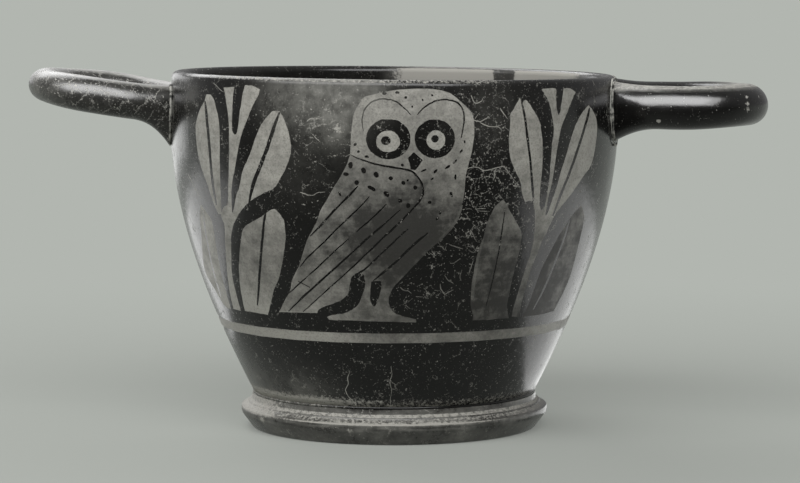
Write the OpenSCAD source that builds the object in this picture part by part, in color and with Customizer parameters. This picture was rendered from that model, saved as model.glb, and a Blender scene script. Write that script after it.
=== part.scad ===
// Skyphos: a deep drinking cup of fired clay with a ring foot and two level loop handles.
// Millimetres, +Z up, the origin on the cup's axis at the face that it stands on.
// The handles lie along X, and the picture side of the cup faces -Y.

/* [Bowl] */
// Height of the rim above the surface that the cup stands on
cup_h = 80; // [70:1:96]
// Outer radius at the rim
rim_r = 49.8; // [44:0.2:60]
// How much wider the wall is at its fullest than at the rim
rim_draw = 0.7; // [0:0.1:2]
// How far below the rim the wall is at its fullest
shoulder_drop = 10; // [6:0.5:20]
// Outer radius where the wall meets the foot
base_r = 32; // [27:0.5:38.5]
// Lean of the wall from upright where it leaves the foot, in degrees
wall_lean = 27.2; // [15:0.2:34]
// Level thickness of the wall at the floor
wall_t = 4.2; // [3:0.1:5.2]
// Thickness of the lip
lip_t = 2.8; // [2:0.1:3.6]
// Thickness of the floor
floor_t = 4.5; // [3:0.1:6]
// Radius of the round between the floor and the wall inside
floor_round = 9; // [4:0.5:11]

/* [Foot] */
// Height of the foot ring
foot_h = 7.8; // [6.4:0.1:9.6]
// How far the ring's rounded nose stands out from the foot of the wall
foot_out = 2.7; // [1.8:0.1:6]
// Height of the ring's fullest line
nose_z = 4.3; // [3.4:0.1:5.2]
// Radius of the ring's rounded nose
nose_r = 2.4; // [1.6:0.1:3]
// How far the face that the cup stands on reaches out from the foot of the wall
rest_out = 1; // [-1:0.1:1.4]
// Width of the face that the cup stands on
rest_w = 5.4; // [3:0.1:7]
// Width of the ring where it meets the bowl, from the foot of the wall inwards
seat_w = 6.8; // [5:0.1:9]
// How far the sharp edge above the nose stands out from the bowl's wall
ledge_w = 2.2; // [1:0.1:2.4]
// How far the sharp edge lies below the top of the ring
ledge_drop = 2.7; // [1:0.1:2.8]

/* [Handles] */
// How far each handle's tip stands out from the fullest line of the wall
handle_out = 33.75; // [27:0.25:42]
// How far the handles' axes lie below the rim where they meet the wall
handle_drop = 7.4; // [6.4:0.1:12]
// Diameter of the left handle
left_d = 9; // [7.4:0.1:11]
// Diameter of the right handle
right_d = 9.6; // [7.8:0.1:11.6]
// Rise of the left handle outwards, in degrees
left_rise = 8.6; // [0:0.2:15]
// Rise of the right handle outwards, in degrees
right_rise = 0.8; // [0:0.2:15]
// Radius of the bow, measured to the middle of the handle
bow_r = 15; // [13:0.5:20.5]
// How far the bow turns from its tip to each leg, in degrees
bow_turn = 122; // [95:1:124]
// How much thicker each leg is at its root
root_extra = 2; // [1:0.1:4]
// How far the thickened root reaches along the leg
root_l = 11; // [7:0.5:14]
// How far the thickened root sags below the leg
root_sag = 5; // [4:0.1:7]

/* [Luting clay] */
// Thickness of the luting clay that joins one piece to the next
lute_t = 0.6; // [0.4:0.05:1]
// How far the bead of luting clay shows round each root
bead_w = 0.5; // [0.4:0.1:1.4]

/* [Hidden] */
$fn = 96;

gloss = "#20201f";
worn_gloss = "#33322f";
pale_clay = "#b3b0a8";

left = -1;
right = 1;
front = -1;
back = 1;

wall_steps = 36;
arc_steps = 10;
shoulder_r = rim_r + rim_draw;
shoulder_z = cup_h - shoulder_drop;
base_z = foot_h + lute_t;
foot_r = base_r + foot_out;
rest_r = base_r + rest_out;
foot_in_r = base_r - seat_w;
lip_r = lip_t / 2;
lip_z = cup_h - lip_r;
floor_z = base_z + floor_t;
handle_z = cup_h - handle_drop;
root_depth = 7;   // how far a leg runs on inside the wall before it is cut back to it
over_rim = 20;    // how far the cutting shape goes on above the rim
swell_start = 1.2; // how far inside the leg's surface the thickened root begins
leg_lap = 1.2;    // how far each leg runs back inside the end of the bow
leg_slim = 0.12;  // how much thinner a leg is than the bow, so that the lap stays inside it

function mix(a, b, s) = a + (b - a) * s;

// a point on a curve that leaves a towards c and arrives at b from c
function bend(a, c, b, s) = mix(mix(a, c, s), mix(c, b, s), s);

// outer radius of the wall: one smooth curve from foot to shoulder, and a drawn-in rim above it
function wall_r(z) =
    z > shoulder_z
        ? shoulder_r - rim_draw * pow((z - shoulder_z) / shoulder_drop, 2)
        : let (rise = shoulder_z - base_z, s = (z - base_z) / rise)
          mix(base_r, shoulder_r, s * s * (3 - 2 * s)) + s * pow(1 - s, 2) * rise * tan(wall_lean);

// inner radius of the wall, which thins evenly from the floor to the lip
function inner_r(z) = wall_r(z) - mix(wall_t, lip_t, (z - base_z) / (lip_z - base_z));

function wall_z(i) = mix(base_z, lip_z, i / wall_steps);

function outer_line(grow) = [for (i = [0 : wall_steps]) [wall_r(wall_z(i)) + grow, wall_z(i)]];

function lip_line() =
    [for (i = [1 : arc_steps - 1]) let (a = 180 * i / arc_steps)
        [wall_r(lip_z) - lip_r + lip_r * cos(a), lip_z + lip_r * sin(a)]];

function inner_line() =
    [for (i = [wall_steps : -1 : 0]) if (wall_z(i) > floor_z + floor_round) [inner_r(wall_z(i)), wall_z(i)]];

function floor_line() =
    let (top = [inner_r(floor_z + floor_round), floor_z + floor_round],
         corner = [inner_r(floor_z), floor_z],
         flat = [inner_r(floor_z) - floor_round, floor_z])
    [for (i = [0 : arc_steps]) bend(top, corner, flat, i / arc_steps)];

module bowl() {
    color(gloss)
        rotate_extrude()
            polygon(concat(
                [[0, base_z]],
                outer_line(0),
                lip_line(),
                inner_line(),
                floor_line(),
                [[0, floor_z]]
            ));
}

// everything inside the wall's outer face, grown outwards: what the roots are cut back to
module wall_envelope(grow) {
    rotate_extrude()
        polygon(concat(
            [[0, base_z]],
            outer_line(grow),
            [[wall_r(lip_z) + grow, cup_h + over_rim], [0, cup_h + over_rim]]
        ));
}

module foot_ring() {
    edge_r = 0.6;
    nose_low = -30;
    nose_high = 14;
    ledge = [base_r + ledge_w, foot_h - ledge_drop];
    collar = [base_r + lute_t / 2, foot_h];
    color(worn_gloss)
        rotate_extrude()
            polygon(concat(
                [[rest_r - rest_w, 0]],
                [for (i = [0 : arc_steps]) let (a = mix(-90, nose_low, i / arc_steps))
                    [rest_r - edge_r + edge_r * cos(a), edge_r + edge_r * sin(a)]],
                [for (i = [0 : arc_steps]) let (a = mix(nose_low, nose_high, i / arc_steps))
                    [foot_r - nose_r + nose_r * cos(a), nose_z + nose_r * sin(a)]],
                [ledge],
                [for (i = [1 : arc_steps]) bend(ledge, [collar[0], ledge[1]], collar, i / arc_steps)],
                [[foot_in_r, foot_h]]
            ));
}

module foot_luting() {
    bead_r = lute_t / 2;
    color(pale_clay)
        rotate_extrude()
            polygon(concat(
                [[foot_in_r, base_z], [foot_in_r, foot_h]],
                [for (i = [0 : arc_steps]) let (a = mix(-90, 90, i / arc_steps))
                    [base_r + bead_r * cos(a), foot_h + bead_r + bead_r * sin(a)]]
            ));
}

// a round bar from point a to point b
module bar(a, b, ra, rb) {
    v = b - a;
    translate(a)
        rotate([0, acos(v[2] / norm(v)), atan2(v[1], v[0])])
            cylinder(h = norm(v), r1 = ra, r2 = rb);
}

function bow_x(d, rise) = (handle_out - d / 2) / cos(rise) - bow_r;

function leg_start(d, rise, face) =
    [bow_x(d, rise) + bow_r * cos(bow_turn), face * bow_r * sin(bow_turn), 0];

// the leg runs straight on from the bow until it is root_depth inside the wall
function leg_end(d, rise, face) =
    let (start = leg_start(d, rise, face), run = (start[0] + root_depth) / sin(bow_turn))
    start + run * [-sin(bow_turn), face * cos(bow_turn), 0];

module leg(d, rise, face, grow) {
    start = leg_start(d, rise, face);
    end = leg_end(d, rise, face);
    along = (end - start) / norm(end - start);
    swell = end - (root_l + root_depth) * along;
    bar(start - leg_lap * along, end, d / 2 - leg_slim + grow, d / 2 - leg_slim + grow);
    bar(swell, end - [0, 0, root_sag], d / 2 - swell_start + grow, d / 2 + root_extra + grow);
}

// places a handle, drawn out along +X from the wall's fullest line, on its side of the cup
module on_side(side, rise) {
    mirror([side == left ? 1 : 0, 0, 0])
        translate([shoulder_r, 0, handle_z])
            rotate([0, -rise, 0])
                children();
}

module handle(side, d, rise) {
    color(gloss)
        difference() {
            on_side(side, rise) {
                translate([bow_x(d, rise), 0, 0])
                    rotate([0, 0, -bow_turn])
                        rotate_extrude(angle = 2 * bow_turn)
                            translate([bow_r, 0])
                                circle(d = d);
                leg(d, rise, front, 0);
                leg(d, rise, back, 0);
            }
            wall_envelope(lute_t);
        }
}

module root_luting(side, face, d, rise) {
    color(pale_clay)
        difference() {
            intersection() {
                on_side(side, rise) leg(d, rise, face, bead_w);
                wall_envelope(lute_t);
            }
            wall_envelope(0);
        }
}

module left_handle() handle(left, left_d, left_rise);
module right_handle() handle(right, right_d, right_rise);
module left_front_luting() root_luting(left, front, left_d, left_rise);
module left_back_luting() root_luting(left, back, left_d, left_rise);
module right_front_luting() root_luting(right, front, right_d, right_rise);
module right_back_luting() root_luting(right, back, right_d, right_rise);

bowl();
foot_ring();
foot_luting();
left_handle();
right_handle();
left_front_luting();
left_back_luting();
right_front_luting();
right_back_luting();
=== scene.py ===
import math
import bpy
import numpy as np
from mathutils import Matrix, Vector, noise
from mathutils.geometry import delaunay_2d_cdt


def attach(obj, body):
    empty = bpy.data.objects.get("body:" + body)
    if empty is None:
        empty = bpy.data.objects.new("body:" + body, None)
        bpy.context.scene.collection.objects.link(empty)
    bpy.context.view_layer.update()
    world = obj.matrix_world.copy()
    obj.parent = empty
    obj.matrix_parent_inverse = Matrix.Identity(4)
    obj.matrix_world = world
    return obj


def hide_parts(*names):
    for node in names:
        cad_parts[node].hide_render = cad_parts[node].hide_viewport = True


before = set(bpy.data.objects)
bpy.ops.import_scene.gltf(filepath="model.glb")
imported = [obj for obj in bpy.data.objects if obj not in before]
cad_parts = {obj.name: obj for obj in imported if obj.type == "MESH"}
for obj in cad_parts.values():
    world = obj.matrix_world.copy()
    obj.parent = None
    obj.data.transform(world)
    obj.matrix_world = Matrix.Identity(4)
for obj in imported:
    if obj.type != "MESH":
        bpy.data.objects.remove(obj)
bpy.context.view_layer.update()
print("frame loaded:", len(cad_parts), "CAD nodes")

# All sizes below are in millimetres and all angles in degrees, unless a note says otherwise.
# The cup's axis is Z, its picture side faces -Y, and its handles lie along X.


def mm(length):
    return length / 1000


def mmVector(place):
    return Vector(place) / 1000


def linear(hexColour):
    channels = [int(hexColour[i:i + 2], 16) / 255 for i in (1, 3, 5)]
    return [c / 12.92 if c <= 0.04045 else ((c + 0.055) / 1.055) ** 2.4 for c in channels] + [1]


def mix(a, b, share):
    return a + (b - a) * share


def smoothStep(low, high, value):
    share = min(1, max(0, (value - low) / (high - low)))
    return share * share * (3 - 2 * share)


def between(rise, fall, value):
    # 1 between two soft edges and 0 outside them
    return smoothStep(*rise, value) * (1 - smoothStep(*fall, value))


def deselectAll():
    if bpy.context.object and bpy.context.object.mode != "OBJECT":
        bpy.ops.object.mode_set(mode="OBJECT")
    bpy.ops.object.select_all(action="DESELECT")


def selectOnly(*objects):
    deselectAll()
    for item in objects:
        item.select_set(True)
    bpy.context.view_layer.objects.active = objects[0]


def applyModifier(item, kind, **settings):
    selectOnly(item)
    modifier = item.modifiers.new(kind.title(), kind)
    for name, value in settings.items():
        setattr(modifier, name, value)
    bpy.ops.object.modifier_apply(modifier=modifier.name)


def closeMesh(item, mergeWithin=0):
    # merges points that lie together and turns the faces outwards
    selectOnly(item)
    bpy.ops.object.mode_set(mode="EDIT")
    bpy.ops.mesh.select_all(action="SELECT")
    if mergeWithin:
        bpy.ops.mesh.remove_doubles(threshold=mm(mergeWithin))
    bpy.ops.mesh.normals_make_consistent(inside=False)
    bpy.ops.object.mode_set(mode="OBJECT")


# the photograph's camera, fitted to the rim, the foot and both handles
camera = {
    "distance": 680,
    "height": 101.2,
    "azimuth": 3,
    "pitch": 5,
    "aimAside": 1.36,        # the axis stands left of the picture's middle
    "focalPixels": 3010,
    "pictureWidth": 800,
    "pictureMiddle": (400, 241.5),
    "sensor": 36,
}


def cameraMatrix():
    turn = math.radians(camera["azimuth"])
    pitch = math.radians(camera["pitch"])
    place = Vector((math.sin(turn), -math.cos(turn), 0)) * camera["distance"]
    aim = Vector((math.cos(turn), math.sin(turn), 0)) * camera["aimAside"]
    level = (aim - place).normalized()
    forward = level * math.cos(pitch) - Vector((0, 0, math.sin(pitch)))
    right = forward.cross(Vector((0, 0, 1))).normalized()
    up = right.cross(forward)
    place.z = camera["height"]
    turned = Matrix((right, up, -forward)).transposed()
    return place, turned


cameraPlace, cameraTurn = cameraMatrix()
bpy.ops.object.camera_add()
photoCamera = bpy.context.object
photoCamera.name = "photoCamera"
photoCamera.matrix_world = Matrix.Translation(mmVector(cameraPlace)) @ cameraTurn.to_4x4()
photoCamera.data.sensor_width = camera["sensor"]
photoCamera.data.lens = camera["sensor"] * camera["focalPixels"] / camera["pictureWidth"]
photoCamera.data.clip_start = 0.01
bpy.context.scene.camera = photoCamera
print("camera placed")


def addNode(tree, kind, values=None, links=None, **settings):
    node = tree.nodes.new(kind)
    for name, value in settings.items():
        setattr(node, name, value)
    for key, value in (values or {}).items():
        node.inputs[key].default_value = value
    for key, socket in (links or {}).items():
        tree.links.new(socket, node.inputs[key])
    return node


def newMaterial(name):
    material = bpy.data.materials.new(name)
    material.use_nodes = True
    tree = material.node_tree
    tree.nodes.clear()
    output = addNode(tree, "ShaderNodeOutputMaterial")
    place = addNode(tree, "ShaderNodeTexCoord").outputs["Object"]
    return material, tree, output, place


def perMm(size):
    # texture scale for a pattern whose parts are this many millimetres across
    return 1000 / size


def blackGlossSlip():
    # Iron-rich slip sintered black in the kiln: a thin dense skin with a soft, slightly uneven gloss.
    # It has crazed and flaked with age, and the clay shows grey through cracks, specks and worn edges; on the
    # foot's sharp edge and the right handle's top this bare clay is partly a painted highlight.
    material, tree, output, place = newMaterial("blackGlossSlip")
    wearAndHighlight = addNode(tree, "ShaderNodeAttribute", attribute_name="wearAndHighlight").outputs["Fac"]
    craze = addNode(tree, "ShaderNodeAttribute", attribute_name="craze").outputs["Fac"]
    veil = addNode(tree, "ShaderNodeAttribute", attribute_name="veil").outputs["Fac"]
    # cracks: the edges of crooked cells, kept only in patches
    warp = addNode(tree, "ShaderNodeTexNoise", {"Scale": perMm(1.3), "Detail": 5, "Roughness": 0.65},
                   {"Vector": place})
    bentPlace = addNode(tree, "ShaderNodeMix", {0: 0.003}, {4: place, 5: warp.outputs["Color"]},
                        data_type="VECTOR")
    cells = addNode(tree, "ShaderNodeTexVoronoi", {"Scale": perMm(3.4)},
                    {"Vector": bentPlace.outputs[1]}, feature="DISTANCE_TO_EDGE")
    lines = addNode(tree, "ShaderNodeMapRange", {1: 0.004, 2: 0.024, 3: 1, 4: 0},
                    {0: cells.outputs["Distance"]})
    patches = addNode(tree, "ShaderNodeTexNoise", {"Scale": perMm(3), "Detail": 6, "Roughness": 0.75},
                      {"Vector": place})
    density = addNode(tree, "ShaderNodeMath", {1: 0.19}, {0: craze}, operation="MULTIPLY")
    patchSum = addNode(tree, "ShaderNodeMath", links={0: patches.outputs["Fac"], 1: density.outputs[0]},
                       operation="ADD")
    patchMask = addNode(tree, "ShaderNodeMapRange", {1: 0.62, 2: 0.72}, {0: patchSum.outputs[0]})
    cracks = addNode(tree, "ShaderNodeMath", links={0: lines.outputs[0], 1: patchMask.outputs[0]},
                     operation="MULTIPLY")
    # wearAndHighlight: the clay shows where fine grit and the place's wear, with its painted highlight,
    # together are high enough
    grit = addNode(tree, "ShaderNodeTexNoise", {"Scale": perMm(0.7), "Detail": 6, "Roughness": 0.8},
                   {"Vector": place})
    bareSum = addNode(tree, "ShaderNodeMath", links={0: wearAndHighlight, 1: grit.outputs["Fac"]}, operation="ADD")
    bareClay = addNode(tree, "ShaderNodeMapRange", {1: 0.97, 2: 1.09}, {0: bareSum.outputs[0]})
    # flecks: pits where a grain has dropped out, thickest where the gloss has crazed most
    flecks = addNode(tree, "ShaderNodeTexNoise", {"Scale": perMm(0.42), "Detail": 2}, {"Vector": place})
    fleckShare = addNode(tree, "ShaderNodeMath", {1: 0.085}, {0: craze}, operation="MULTIPLY")
    fleckSum = addNode(tree, "ShaderNodeMath", links={0: flecks.outputs["Fac"], 1: fleckShare.outputs[0]},
                       operation="ADD")
    fleckMask = addNode(tree, "ShaderNodeMapRange", {1: 0.7, 2: 0.82}, {0: fleckSum.outputs[0]})
    bare = addNode(tree, "ShaderNodeMath", links={0: cracks.outputs[0], 1: bareClay.outputs[0]},
                   operation="MAXIMUM")
    bareAll = addNode(tree, "ShaderNodeMath", links={0: bare.outputs[0], 1: fleckMask.outputs[0]},
                      operation="MAXIMUM")
    clouds = addNode(tree, "ShaderNodeTexNoise", {"Scale": perMm(9), "Detail": 6, "Roughness": 0.65},
                     {"Vector": place})
    gloss = addNode(tree, "ShaderNodeMix", {6: linear("#070706"), 7: linear("#191817")},
                    {0: clouds.outputs["Fac"]}, data_type="RGBA")
    # veil: gloss rubbed thin, and a painted highlight on the handle tops and inside the back of the rim,
    # which greys it in soft clouds
    rubAndHighlight = addNode(tree, "ShaderNodeTexNoise", {"Scale": perMm(2.4), "Detail": 6, "Roughness": 0.7},
                     {"Vector": place})
    rubAndHighlightMap = addNode(tree, "ShaderNodeMapRange", {1: 0.3, 2: 0.72, 3: 0.25, 4: 1},
                     {0: rubAndHighlight.outputs["Fac"]})
    veilShare = addNode(tree, "ShaderNodeMath", links={0: veil, 1: rubAndHighlightMap.outputs[0]},
                        operation="MULTIPLY", use_clamp=True)
    skinColour = addNode(tree, "ShaderNodeMix", {7: linear("#86857f")},
                         {0: veilShare.outputs[0], 6: gloss.outputs[2]}, data_type="RGBA")
    colour = addNode(tree, "ShaderNodeMix", {7: linear("#9b9992")},
                     {0: bareAll.outputs[0], 6: skinColour.outputs[2]}, data_type="RGBA")
    sheen = addNode(tree, "ShaderNodeMapRange", {1: 0.3, 2: 0.7, 3: 0.16, 4: 0.27},
                    {0: clouds.outputs["Fac"]})
    rubAndHighlightRough = addNode(tree, "ShaderNodeMix", {3: 0.55}, {0: veilShare.outputs[0], 2: sheen.outputs[0]})
    rough = addNode(tree, "ShaderNodeMix", {3: 0.75}, {0: bareAll.outputs[0], 2: rubAndHighlightRough.outputs[0]})
    skin = addNode(tree, "ShaderNodeTexNoise", {"Scale": perMm(1.6), "Detail": 4}, {"Vector": place})
    height = addNode(tree, "ShaderNodeMix", {3: 0.0},
                     {0: bareAll.outputs[0], 2: skin.outputs["Fac"]})
    bump = addNode(tree, "ShaderNodeBump", {"Strength": 0.5, "Distance": 0.00008},
                   {"Height": height.outputs[0]})
    shader = addNode(tree, "ShaderNodeBsdfPrincipled", {"IOR": 1.5},
                     {"Base Color": colour.outputs[2], "Roughness": rough.outputs[0],
                      "Normal": bump.outputs[0]})
    tree.links.new(shader.outputs[0], output.inputs[0])
    return material


def burnishedClay():
    # Fine levigated clay, burnished before firing and left bare where the picture is reserved.
    # The photograph is a monochrome print, so its grey tone is followed. The surface is mottled and
    # has fine dark grit, faint streaks of burnishing round the wall, and a low sheen.
    material, tree, output, place = newMaterial("burnishedClay")
    tone = addNode(tree, "ShaderNodeAttribute", attribute_name="tone").outputs["Fac"]
    sootAndShade = addNode(tree, "ShaderNodeAttribute", attribute_name="sootAndShade").outputs["Fac"]
    mottle = addNode(tree, "ShaderNodeTexNoise", {"Scale": perMm(3.4), "Detail": 8, "Roughness": 0.72},
                     {"Vector": place})
    grit = addNode(tree, "ShaderNodeTexNoise", {"Scale": perMm(0.42), "Detail": 3, "Roughness": 0.7},
                   {"Vector": place})
    flat = addNode(tree, "ShaderNodeMapping", {"Scale": (0.12, 0.12, 1)}, {"Vector": place})
    streaks = addNode(tree, "ShaderNodeTexNoise", {"Scale": perMm(0.8), "Detail": 3},
                      {"Vector": flat.outputs[0]})
    # darker where the tone and sootAndShade attributes say: the clay's own unevenness and age, and painted
    # shade
    toneAll = addNode(tree, "ShaderNodeMath", links={0: tone, 1: sootAndShade}, operation="ADD")
    blotches = addNode(tree, "ShaderNodeMapRange", {1: 0.34, 2: 0.66, 3: 0.05, 4: 0.95},
                       {0: mottle.outputs["Fac"]})
    unevenness = addNode(tree, "ShaderNodeMix", {0: 0.35},
                         {2: blotches.outputs[0], 3: streaks.outputs["Fac"]})
    toneSum = addNode(tree, "ShaderNodeMath", links={0: toneAll.outputs[0], 1: unevenness.outputs[0]},
                      operation="ADD")
    toneMap = addNode(tree, "ShaderNodeMapRange", {1: 0.3, 2: 1.4}, {0: toneSum.outputs[0]})
    body = addNode(tree, "ShaderNodeMix", {6: linear("#9d9b94"), 7: linear("#302f2c")},
                   {0: toneMap.outputs[0]}, data_type="RGBA")
    gritMask = addNode(tree, "ShaderNodeMapRange", {1: 0.48, 2: 0.68, 3: 0, 4: 0.5},
                       {0: grit.outputs["Fac"]})
    colour = addNode(tree, "ShaderNodeMix", {7: linear("#3f3e3b")},
                     {0: gritMask.outputs[0], 6: body.outputs[2]}, data_type="RGBA")
    rough = addNode(tree, "ShaderNodeMapRange", {1: 0.3, 2: 0.7, 3: 0.5, 4: 0.66},
                    {0: mottle.outputs["Fac"]})
    bump = addNode(tree, "ShaderNodeBump", {"Strength": 0.5, "Distance": 0.00006},
                   {"Height": grit.outputs["Fac"]})
    shader = addNode(tree, "ShaderNodeBsdfPrincipled", {"IOR": 1.45},
                     {"Base Color": colour.outputs[2], "Roughness": rough.outputs[0],
                      "Normal": bump.outputs[0]})
    tree.links.new(shader.outputs[0], output.inputs[0])
    return material


def lutingClay():
    # Soft clay slip smeared round a joint by finger: pale, matt and lumpy, with gloss caught in its hollows.
    material, tree, output, place = newMaterial("lutingClay")
    lumps = addNode(tree, "ShaderNodeTexNoise", {"Scale": perMm(1.6), "Detail": 5, "Roughness": 0.7},
                    {"Vector": place})
    caught = addNode(tree, "ShaderNodeMapRange", {1: 0.46, 2: 0.6}, {0: lumps.outputs["Fac"]})
    colour = addNode(tree, "ShaderNodeMix", {6: linear("#a9a8a1"), 7: linear("#2b2b29")},
                     {0: caught.outputs[0]}, data_type="RGBA")
    bump = addNode(tree, "ShaderNodeBump", {"Strength": 0.5, "Distance": 0.0001},
                   {"Height": lumps.outputs["Fac"]})
    shader = addNode(tree, "ShaderNodeBsdfPrincipled", {"IOR": 1.45, "Roughness": 0.72},
                     {"Base Color": colour.outputs[2], "Normal": bump.outputs[0]})
    tree.links.new(shader.outputs[0], output.inputs[0])
    return material


glossSlip = blackGlossSlip()
clay = burnishedClay()
luting = lutingClay()
print("materials made")

# the bowl, with the sizes of the CAD source; the rim's tilt and the steps of its mesh are its own
bowl = {
    "height": 80,
    "rimRadius": 49.8,
    "rimDraw": 0.7,          # how much the wall draws in above its fullest line
    "fullest": 70,
    "baseRadius": 32,
    "baseZ": 8.4,
    "wallLean": 27.2,
    "wallThick": 4.2,
    "lipThick": 2.8,
    "floorThick": 4.5,
    "floorRound": 9,
    "columns": 288,
    "rowHeight": 1.25,
    "rimTilt": 0.55,         # the rim stands this much higher at the left than in the middle
    "tiltReach": 50,         # distance from the axis at which it does
    "tiltFrom": 52,          # the level from which the wall tilts with the rim
    "lipSteps": 14,
    "insideRows": 32,
    "roundSteps": 10,
    "floorRings": 4,
}
lipZ = bowl["height"] - bowl["lipThick"] / 2
floorZ = bowl["baseZ"] + bowl["floorThick"]
drawRadius = 50              # radius at which the wall is unrolled for painting
halfTurn = math.pi * drawRadius
seamSide = -halfTurn / 2     # the unrolled wall starts under the left handle
rayRounds = 8                # rounds in which a ray closes in on the curved wall


def wallRadius(z):
    fullRadius = bowl["rimRadius"] + bowl["rimDraw"]
    if z > bowl["fullest"]:
        share = (z - bowl["fullest"]) / (bowl["height"] - bowl["fullest"])
        return fullRadius - bowl["rimDraw"] * share ** 2
    rise = bowl["fullest"] - bowl["baseZ"]
    share = (z - bowl["baseZ"]) / rise
    swell = share * (1 - share) ** 2 * rise * math.tan(math.radians(bowl["wallLean"]))
    return mix(bowl["baseRadius"], fullRadius, share * share * (3 - 2 * share)) + swell


def innerRadius(z):
    share = (z - bowl["baseZ"]) / (lipZ - bowl["baseZ"])
    return wallRadius(z) - mix(bowl["wallThick"], bowl["lipThick"], share)


def rimLift(x, z):
    return -bowl["rimTilt"] * x / bowl["tiltReach"] * smoothStep(bowl["tiltFrom"], bowl["height"], z)


def wallSpot(px, py):
    # the place on the unrolled wall that a pixel of the photograph shows
    middleX, middleY = camera["pictureMiddle"]
    focal = camera["focalPixels"]
    ray = cameraTurn @ Vector(((px - middleX) / focal, (middleY - py) / focal, -1))
    radius = drawRadius
    for _ in range(rayRounds):
        a = ray.x ** 2 + ray.y ** 2
        b = cameraPlace.x * ray.x + cameraPlace.y * ray.y
        c = cameraPlace.x ** 2 + cameraPlace.y ** 2 - radius ** 2
        along = (-b - math.sqrt(max(0, b * b - a * c))) / a
        spot = cameraPlace + ray * along
        z = spot.z - rimLift(spot.x, spot.z)
        radius = wallRadius(min(bowl["height"], max(bowl["baseZ"], z)))
    return math.atan2(spot.x, -spot.y) * drawRadius, z


def smoothLine(points, steps=4):
    # a smooth line through points given on the photograph
    if len(points) < 3:
        return list(points)
    ends = [points[0]] + list(points) + [points[-1]]
    line = []
    for i in range(1, len(ends) - 2):
        p0, p1, p2, p3 = (Vector(p) for p in ends[i - 1:i + 3])
        for k in range(steps):
            t = k / steps
            spot = (p1 * 2 + (p2 - p0) * t + (p0 * 2 - p1 * 5 + p2 * 4 - p3) * t ** 2
                    + (p1 * 3 - p0 - p2 * 3 + p3) * t ** 3) / 2
            line.append((spot.x, spot.y))
    line.append(tuple(points[-1]))
    return line


# The painting. Every outline is in pixels of the photograph and is thrown onto the wall from its camera.
# A later shape covers an earlier one. Clay is reserved and gloss is painted.
painting = []
brush = {
    "stray": 0.12,           # how far a painted edge strays
    "grain": 1.7,            # how often it strays, in strays for each millimetre
    "margin": 0.2,           # how near the paint comes to the lip, the foot and the seam
    "endWidth": 0.45,        # width of a stroke's blunt end, as a share of the stroke's
    "taper": 3,              # how fast the stroke widens from its ends
    "dotPoints": 10,         # fewest points round a dot
    "dotDensity": 1.6,       # points for each pixel of a dot's width
}


def keptOnWall(u, z):
    side = -seamSide - brush["margin"]
    low, high = bowl["baseZ"] + brush["margin"], lipZ - brush["margin"]
    return min(side, max(-side, u)), min(high, max(low, z))


def strayed(u, z):
    # two plain noises, because Blender's vector noise gives other values in each run
    place = Vector((u, z, 0)) * brush["grain"]
    across = noise.noise(place + Vector((9.32, 1.53, 7.95)))
    up = noise.noise(place + Vector((0.41, 6.27, 2.68)))
    return u + across * brush["stray"], z + up * brush["stray"]


def paint(ring, kind, tone):
    spots = []
    for pixel in ring:
        spots.append(keptOnWall(*strayed(*wallSpot(*pixel))))
    painting.append({"ring": spots, "kind": kind, "tone": tone})


def paintShape(runs, kind="clay", tone=0.0):
    # the runs are smooth and meet at corners
    ring = []
    for i, run in enumerate(runs):
        start = [runs[i - 1][-1]] if i else []
        line = smoothLine(start + run)
        ring += line[1:] if i else line
    paint(ring, kind, tone)


def paintStroke(points, width, kind="gloss", tone=0.0, endWidth=None):
    line = smoothLine(points)
    last = width if endWidth is None else endWidth
    sides = ([], [])
    for i, spot in enumerate(line):
        before = Vector(line[max(0, i - 1)])
        after = Vector(line[min(len(line) - 1, i + 1)])
        way = (after - before).normalized()
        across = Vector((-way.y, way.x))
        share = i / (len(line) - 1)
        blunt = min(1, brush["endWidth"] + brush["taper"] * min(share, 1 - share))
        half = mix(width, last, share) / 2 * blunt
        sides[0].append(tuple(Vector(spot) + across * half))
        sides[1].append(tuple(Vector(spot) - across * half))
    paint(sides[0] + sides[1][::-1], kind, tone)


def paintDot(middle, width, height, tilt=0, kind="gloss", tone=0.0, flatTop=None):
    points = max(brush["dotPoints"], int(width * brush["dotDensity"]))
    lean = math.radians(tilt)
    ring = []
    for i in range(points):
        turn = 2 * math.pi * i / points
        x = math.cos(turn) * width / 2
        y = math.sin(turn) * height / 2
        px = middle[0] + x * math.cos(lean) - y * math.sin(lean)
        py = middle[1] + x * math.sin(lean) + y * math.cos(lean)
        ring.append((px, py if flatTop is None else max(py, flatTop)))
    paint(ring, kind, tone)


def paintSprig(sprig):
    for leafName, leafTone in sprig["tones"].items():
        paintShape(sprig[leafName], tone=leafTone)
    for rib, ribWidth in sprig["midribs"]:
        paintStroke(rib, ribWidth)
    for stroke, width, endWidth, tone in sprig["paleStrokes"]:
        paintStroke(stroke, width, "clay", tone, endWidth)


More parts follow.
